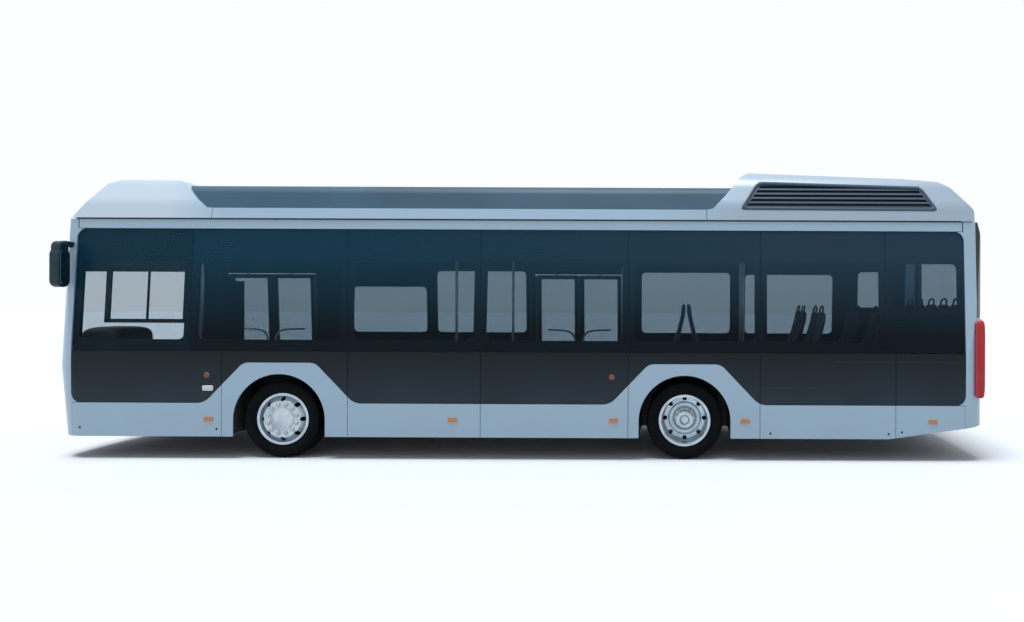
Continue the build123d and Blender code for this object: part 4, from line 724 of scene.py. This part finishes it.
# Lamps. Headlamp covers are clear acrylic, tail lamp covers are red and ribbed, and amber markers line the
# skirts. Each is clipped into its panel; plated rims hold the four round, dark headlamp lenses.
RIB, RIB_DEEP = 0.012, 0.0008
DOME, DOME_HALF = (5.312, 1.165, 1.165), (0.058, 0.072, 0.445)
HEADLAMP_Y, HEADLAMP_Z = (-0.955, -0.805, 0.805, 0.955), 0.72
LENS = ((0.0, 0.020, 0.040, 0.050), (0.010, 0.008, 0.003, -0.008))
LENS_RIM = ((0.048, 0.050, 0.057, 0.060), (0.002, 0.007, 0.007, -0.010))
red, tree, shader = finish("red_lamp_acrylic_with_painted_rib_light", "C42A32", 0.2, ior=1.49, gloss=0.3)
rib = math_of(tree, "SINE", math_of(tree, "MULTIPLY", axes_of(tree)[2], 2 * math.pi / RIB))
bump = add(tree, "ShaderNodeBump", {"Height": rib, "Strength": 0.5, "Distance": RIB_DEEP})
tree.links.new(bump.outputs[0], shader.inputs["Normal"])
# painted light and shade: the red is paler on the rib crests and darker in the grooves
tone = blend(tree, ramp_up(tree, rib, -1.0, 1.0), "AE1F2A", "CF3540")
tree.links.new(tone, shader.inputs["Base Color"])
dress(red, "tail_lamps")
domes = [pebble((DOME[0], side * DOME[1], DOME[2]), DOME_HALF, 0.3, 0.7, 25, 40) for side in (-1, 1)]
piece = mesh_of("tail_lamp_domes", domes, red)
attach(piece, "bus_body")
amber, tree, shader = finish("amber_lamp_acrylic", "CF7F30", 0.15, ior=1.49, coat=0.4)
grain(tree, shader, 7.0, 0.3, detail=0.0)
dress(amber, "side_markers")
dress(clear, "headlamps")
bowls, rings = [], []
for y in HEADLAMP_Y:
    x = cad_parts["headlamps"].ray_cast((-6.0, y, HEADLAMP_Z), (1.0, 0.0, 0.0))[1].x
    for parts, (radius, proud) in ((bowls, LENS), (rings, LENS_RIM)):
        p, f = turned_part(radius, proud, 40, (0.0, 0.0, 0.0))
        parts.append((np.stack([x - p[..., 1], y + p[..., 0], HEADLAMP_Z + p[..., 2]], -1), f))
for name, parts, look, slot in (("headlamp_lenses", bowls, lacquer, "lamp_clear"),
                                ("headlamp_rims", rings, plated, "rail_steel")):
    piece = mesh_of(name, parts, look)
    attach(piece, "bus_body")

# Mirrors. Black moulded heads are clamped to steel arms with a moulded neck over them; the silvered glass
# faces back.
MIRROR_Y, NECK_R = 1.353, 0.034
NECK = ((-5.150, 1.175, 2.440), (-5.146, 1.280, 2.452), (-5.138, 1.350, 2.425), (-5.132, MIRROR_Y, 2.340))
KNUCKLE_X, KNUCKLE_Z, KNUCKLE_HALF = -5.131, 2.385, (0.056, 0.078, 0.085)
PLATE_X, PLATE_Z, PLATE_HALF = -5.073, 2.165, (0.0035, 0.064, 0.185)
shell, tree, shader = finish("moulded_mirror_shell", "14323F", 0.35, gloss=0.3)
mottle(tree, shader, "173846", "112B37", 90)
grain(tree, shader, 1.5, 0.05)
dress(shell, "mirrors")
silvered, tree, shader = finish("silvered_mirror_glass", "4E7486", 0.06, metal=0.9)
grain(tree, shader, 60.0, 0.05, detail=0.0)
necks, plates = [], []
for side in (-1, 1):
    necks.append(tube(smooth_path([(x, side * y, z) for x, y, z in NECK]), NECK_R, 14))
    necks.append(pebble((KNUCKLE_X, side * MIRROR_Y, KNUCKLE_Z), KNUCKLE_HALF, 0.7, 0.5, 17, 32))
    plates.append(pebble((PLATE_X, side * MIRROR_Y, PLATE_Z), PLATE_HALF, 0.25, 0.3))
for name, parts, look, slot in (("mirror_necks", necks, shell, "black_plastic"),
                                ("mirror_glasses", plates, silvered, "lamp_clear")):
    piece = mesh_of(name, parts, look)
    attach(piece, "bus_body")

# Cab. The dashboard is moulded in dark grained plastic over a steel stand; a hood of the same, clipped on,
# covers the instruments.
HOOD, HOOD_HALF = (-4.945, -0.72, 1.305), (0.245, 0.330, 0.185)
dash, tree, shader = finish("grained_dashboard_plastic", "25282B", 0.6)
mottle(tree, shader, "2A2D31", "1F2225", 80)
grain(tree, shader, 2.0, 0.15)
dress(dash, "dashboard")
hood = pebble(HOOD, HOOD_HALF, 0.5, 0.35, 21, 40)
piece = mesh_of("instrument_hood", [hood], dash)
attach(piece, "bus_body")

# Seats. Each place is a foam pad and a foam back under woven cloth, on a steel foot bolted to the floor; loop
# handles top the backs on the rear platform, and the driver's seat has a head rest.
THREAD, WEAVE_DEEP = 0.004, 0.0006
FLOOR, PLATFORM, WELL = 0.340, 0.760, 0.971
LEFT, BOTH = (-0.69,), (-0.69, 0.69)
# Each row: place along, the way it faces, heights of the pad and of the back's top, its floor, places across.
ROWS = ((4.150, -1, 0.750, 1.310, FLOOR, BOTH), (4.900, -1, 0.750, 1.310, FLOOR, LEFT),
        (5.650, -1, 0.750, 1.310, FLOOR, LEFT), (7.065, -1, 1.120, 1.790, WELL, BOTH),
        (7.605, 1, 1.120, 1.790, WELL, BOTH), (8.700, -1, 1.140, 1.700, PLATFORM, BOTH),
        (9.450, -1, 1.140, 1.700, PLATFORM, BOTH), (10.300, -1, 1.190, 1.800, PLATFORM, (-0.69, 0.0, 0.69)))
PAIR_WIDE, SINGLE_WIDE, SEAT_GAP = 0.44, 0.24, 0.008
PAD_MIDDLE, PAD_LONG, PAD_HIGH, PAD_UNDER = 0.215, 0.213, 0.037, 0.075
PAD_DROP, BACK_SET, BACK_HALF, BACK_DROP, BACK_OVER = 0.036, 0.028, 0.026, 0.03, 0.025
LEAN, LEAN_UNDER, FOOT_HALF = 0.21, 0.06, 0.06
LOOP_R, LOOP_SET, LOOP_DROP = 0.012, 0.02, 0.02
# Loop handle: away from the back, across and up.
LOOP = ((0.0, -0.10, 0.0), (0.012, -0.10, 0.06), (0.015, -0.05, 0.085),
        (0.015, 0.05, 0.085), (0.012, 0.10, 0.06), (0.0, 0.10, 0.0))
DRIVER_S, DRIVER_Y, DRIVER_HIGH, DRIVER_PEAK, DRIVER_LEAN = 1.560, -0.665, 0.920, 1.700, 0.10
DRIVER_UNDER, DRIVER_BACK, DRIVER_FROM = 0.11, 0.045, 0.08
DRIVER_PAD, DRIVER_SLAB, DRIVER_REST = (0.24, 0.24, 0.055), (DRIVER_BACK, 0.23, 0.38), (0.04, 0.13, 0.07)
SLAB_UP, REST_UP, STAND_SET, STAND_HALF = 0.30, 0.73, 0.23, (0.10, 0.14)
cloth, tree, shader = finish("woven_seat_cloth", "2C3A55", 0.9)
shader.inputs["Sheen Weight"].default_value = 0.3
axes = axes_of(tree)
threads = [math_of(tree, "SINE", math_of(tree, "MULTIPLY", axes[axis], 2 * math.pi / THREAD))
           for axis in (1, 2)]
weave = math_of(tree, "MULTIPLY", *threads)
bump = add(tree, "ShaderNodeBump", {"Height": weave, "Strength": 0.6, "Distance": WEAVE_DEEP})
tree.links.new(bump.outputs[0], shader.inputs["Normal"])
mottle(tree, shader, "34456A", "24304A", 12, 0.42, 0.58)
pads, backs, feet, handles = [], [], [], []


def leaning(part, low, high, reach):
    """Leans a part along the bus: x moves by the reach times a quarter turn's sine between two heights."""
    p, f = part
    rise = np.clip((p[..., 2:] - low) / (high - low), 0, 1)
    return p + reach * np.sin(np.pi / 2 * rise) * np.array([1.0, 0, 0]), f


for s, facing, high, peak, foot, places in ROWS:
    for y in places:
        wide = PAIR_WIDE if y else SINGLE_WIDE
        seats = (y - wide / 2, y + wide / 2) if y else (y,)
        half = wide / len(seats) - SEAT_GAP
        x = FRONT + s
        rise = peak - high
        for centre in seats:
            pad = (x + facing * PAD_MIDDLE, centre, high - PAD_DROP)
            pads.append(pebble(pad, (PAD_LONG, half, PAD_HIGH), 0.45, 0.3))
            middle = (x - facing * BACK_SET, centre, high + rise / 2 - BACK_DROP)
            slab = pebble(middle, (BACK_HALF, half, rise / 2 + BACK_OVER), 0.35, 0.45)
            backs.append(leaning(slab, high - LEAN_UNDER, peak, -facing * LEAN))
            if foot == PLATFORM:
                behind = x - facing * (LEAN + LOOP_SET)
                loop = [(behind - facing * away, centre + across, peak - LOOP_DROP + up)
                        for away, across, up in LOOP]
                handles.append(tube(smooth_path(loop), LOOP_R, 8))
        stand = (x + facing * PAD_MIDDLE, y, (foot + high - PAD_UNDER) / 2)
        feet.append(pebble(stand, (FOOT_HALF, wide / 2, (high - PAD_UNDER - foot) / 2), 0.12, 0.2))
x, y, high, peak = FRONT + DRIVER_S, DRIVER_Y, DRIVER_HIGH, DRIVER_PEAK
pads.append(pebble((x - DRIVER_PAD[0], y, high - DRIVER_PAD[2]), DRIVER_PAD, 0.4, 0.35))
slab = pebble((x + DRIVER_BACK, y, high + SLAB_UP), DRIVER_SLAB, 0.35, 0.4)
rest = pebble((x + DRIVER_BACK, y, high + REST_UP), DRIVER_REST, 0.5, 0.4)
backs += [leaning(part, high - DRIVER_FROM, peak, DRIVER_LEAN) for part in (slab, rest)]
stand = (x - STAND_SET, y, (FLOOR + high - DRIVER_UNDER) / 2)
feet.append(pebble(stand, (*STAND_HALF, (high - DRIVER_UNDER - FLOOR) / 2), 0.12, 0.2))
for name, parts, look, node, slot in (("seat_pads", pads, cloth, "seat_cushions", "seat_cloth"),
                                      ("seat_back_pads", backs, cloth, "seat_backs", "seat_cloth")):
    piece = mesh_of(name, parts, look)
    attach(piece, "bus_body")
    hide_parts(node)
for name, parts, look, slot in (("seat_feet", feet, chassis, "frame_steel"),
                                ("seat_loop_handles", handles, dark, "black_plastic")):
    piece = mesh_of(name, parts, look)
    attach(piece, "bus_body")

# Handrails. Poles and rails of the same brushed stainless steel as the door rails, clamped between floor,
# walls and ceiling.
dress(steel, "handrails")
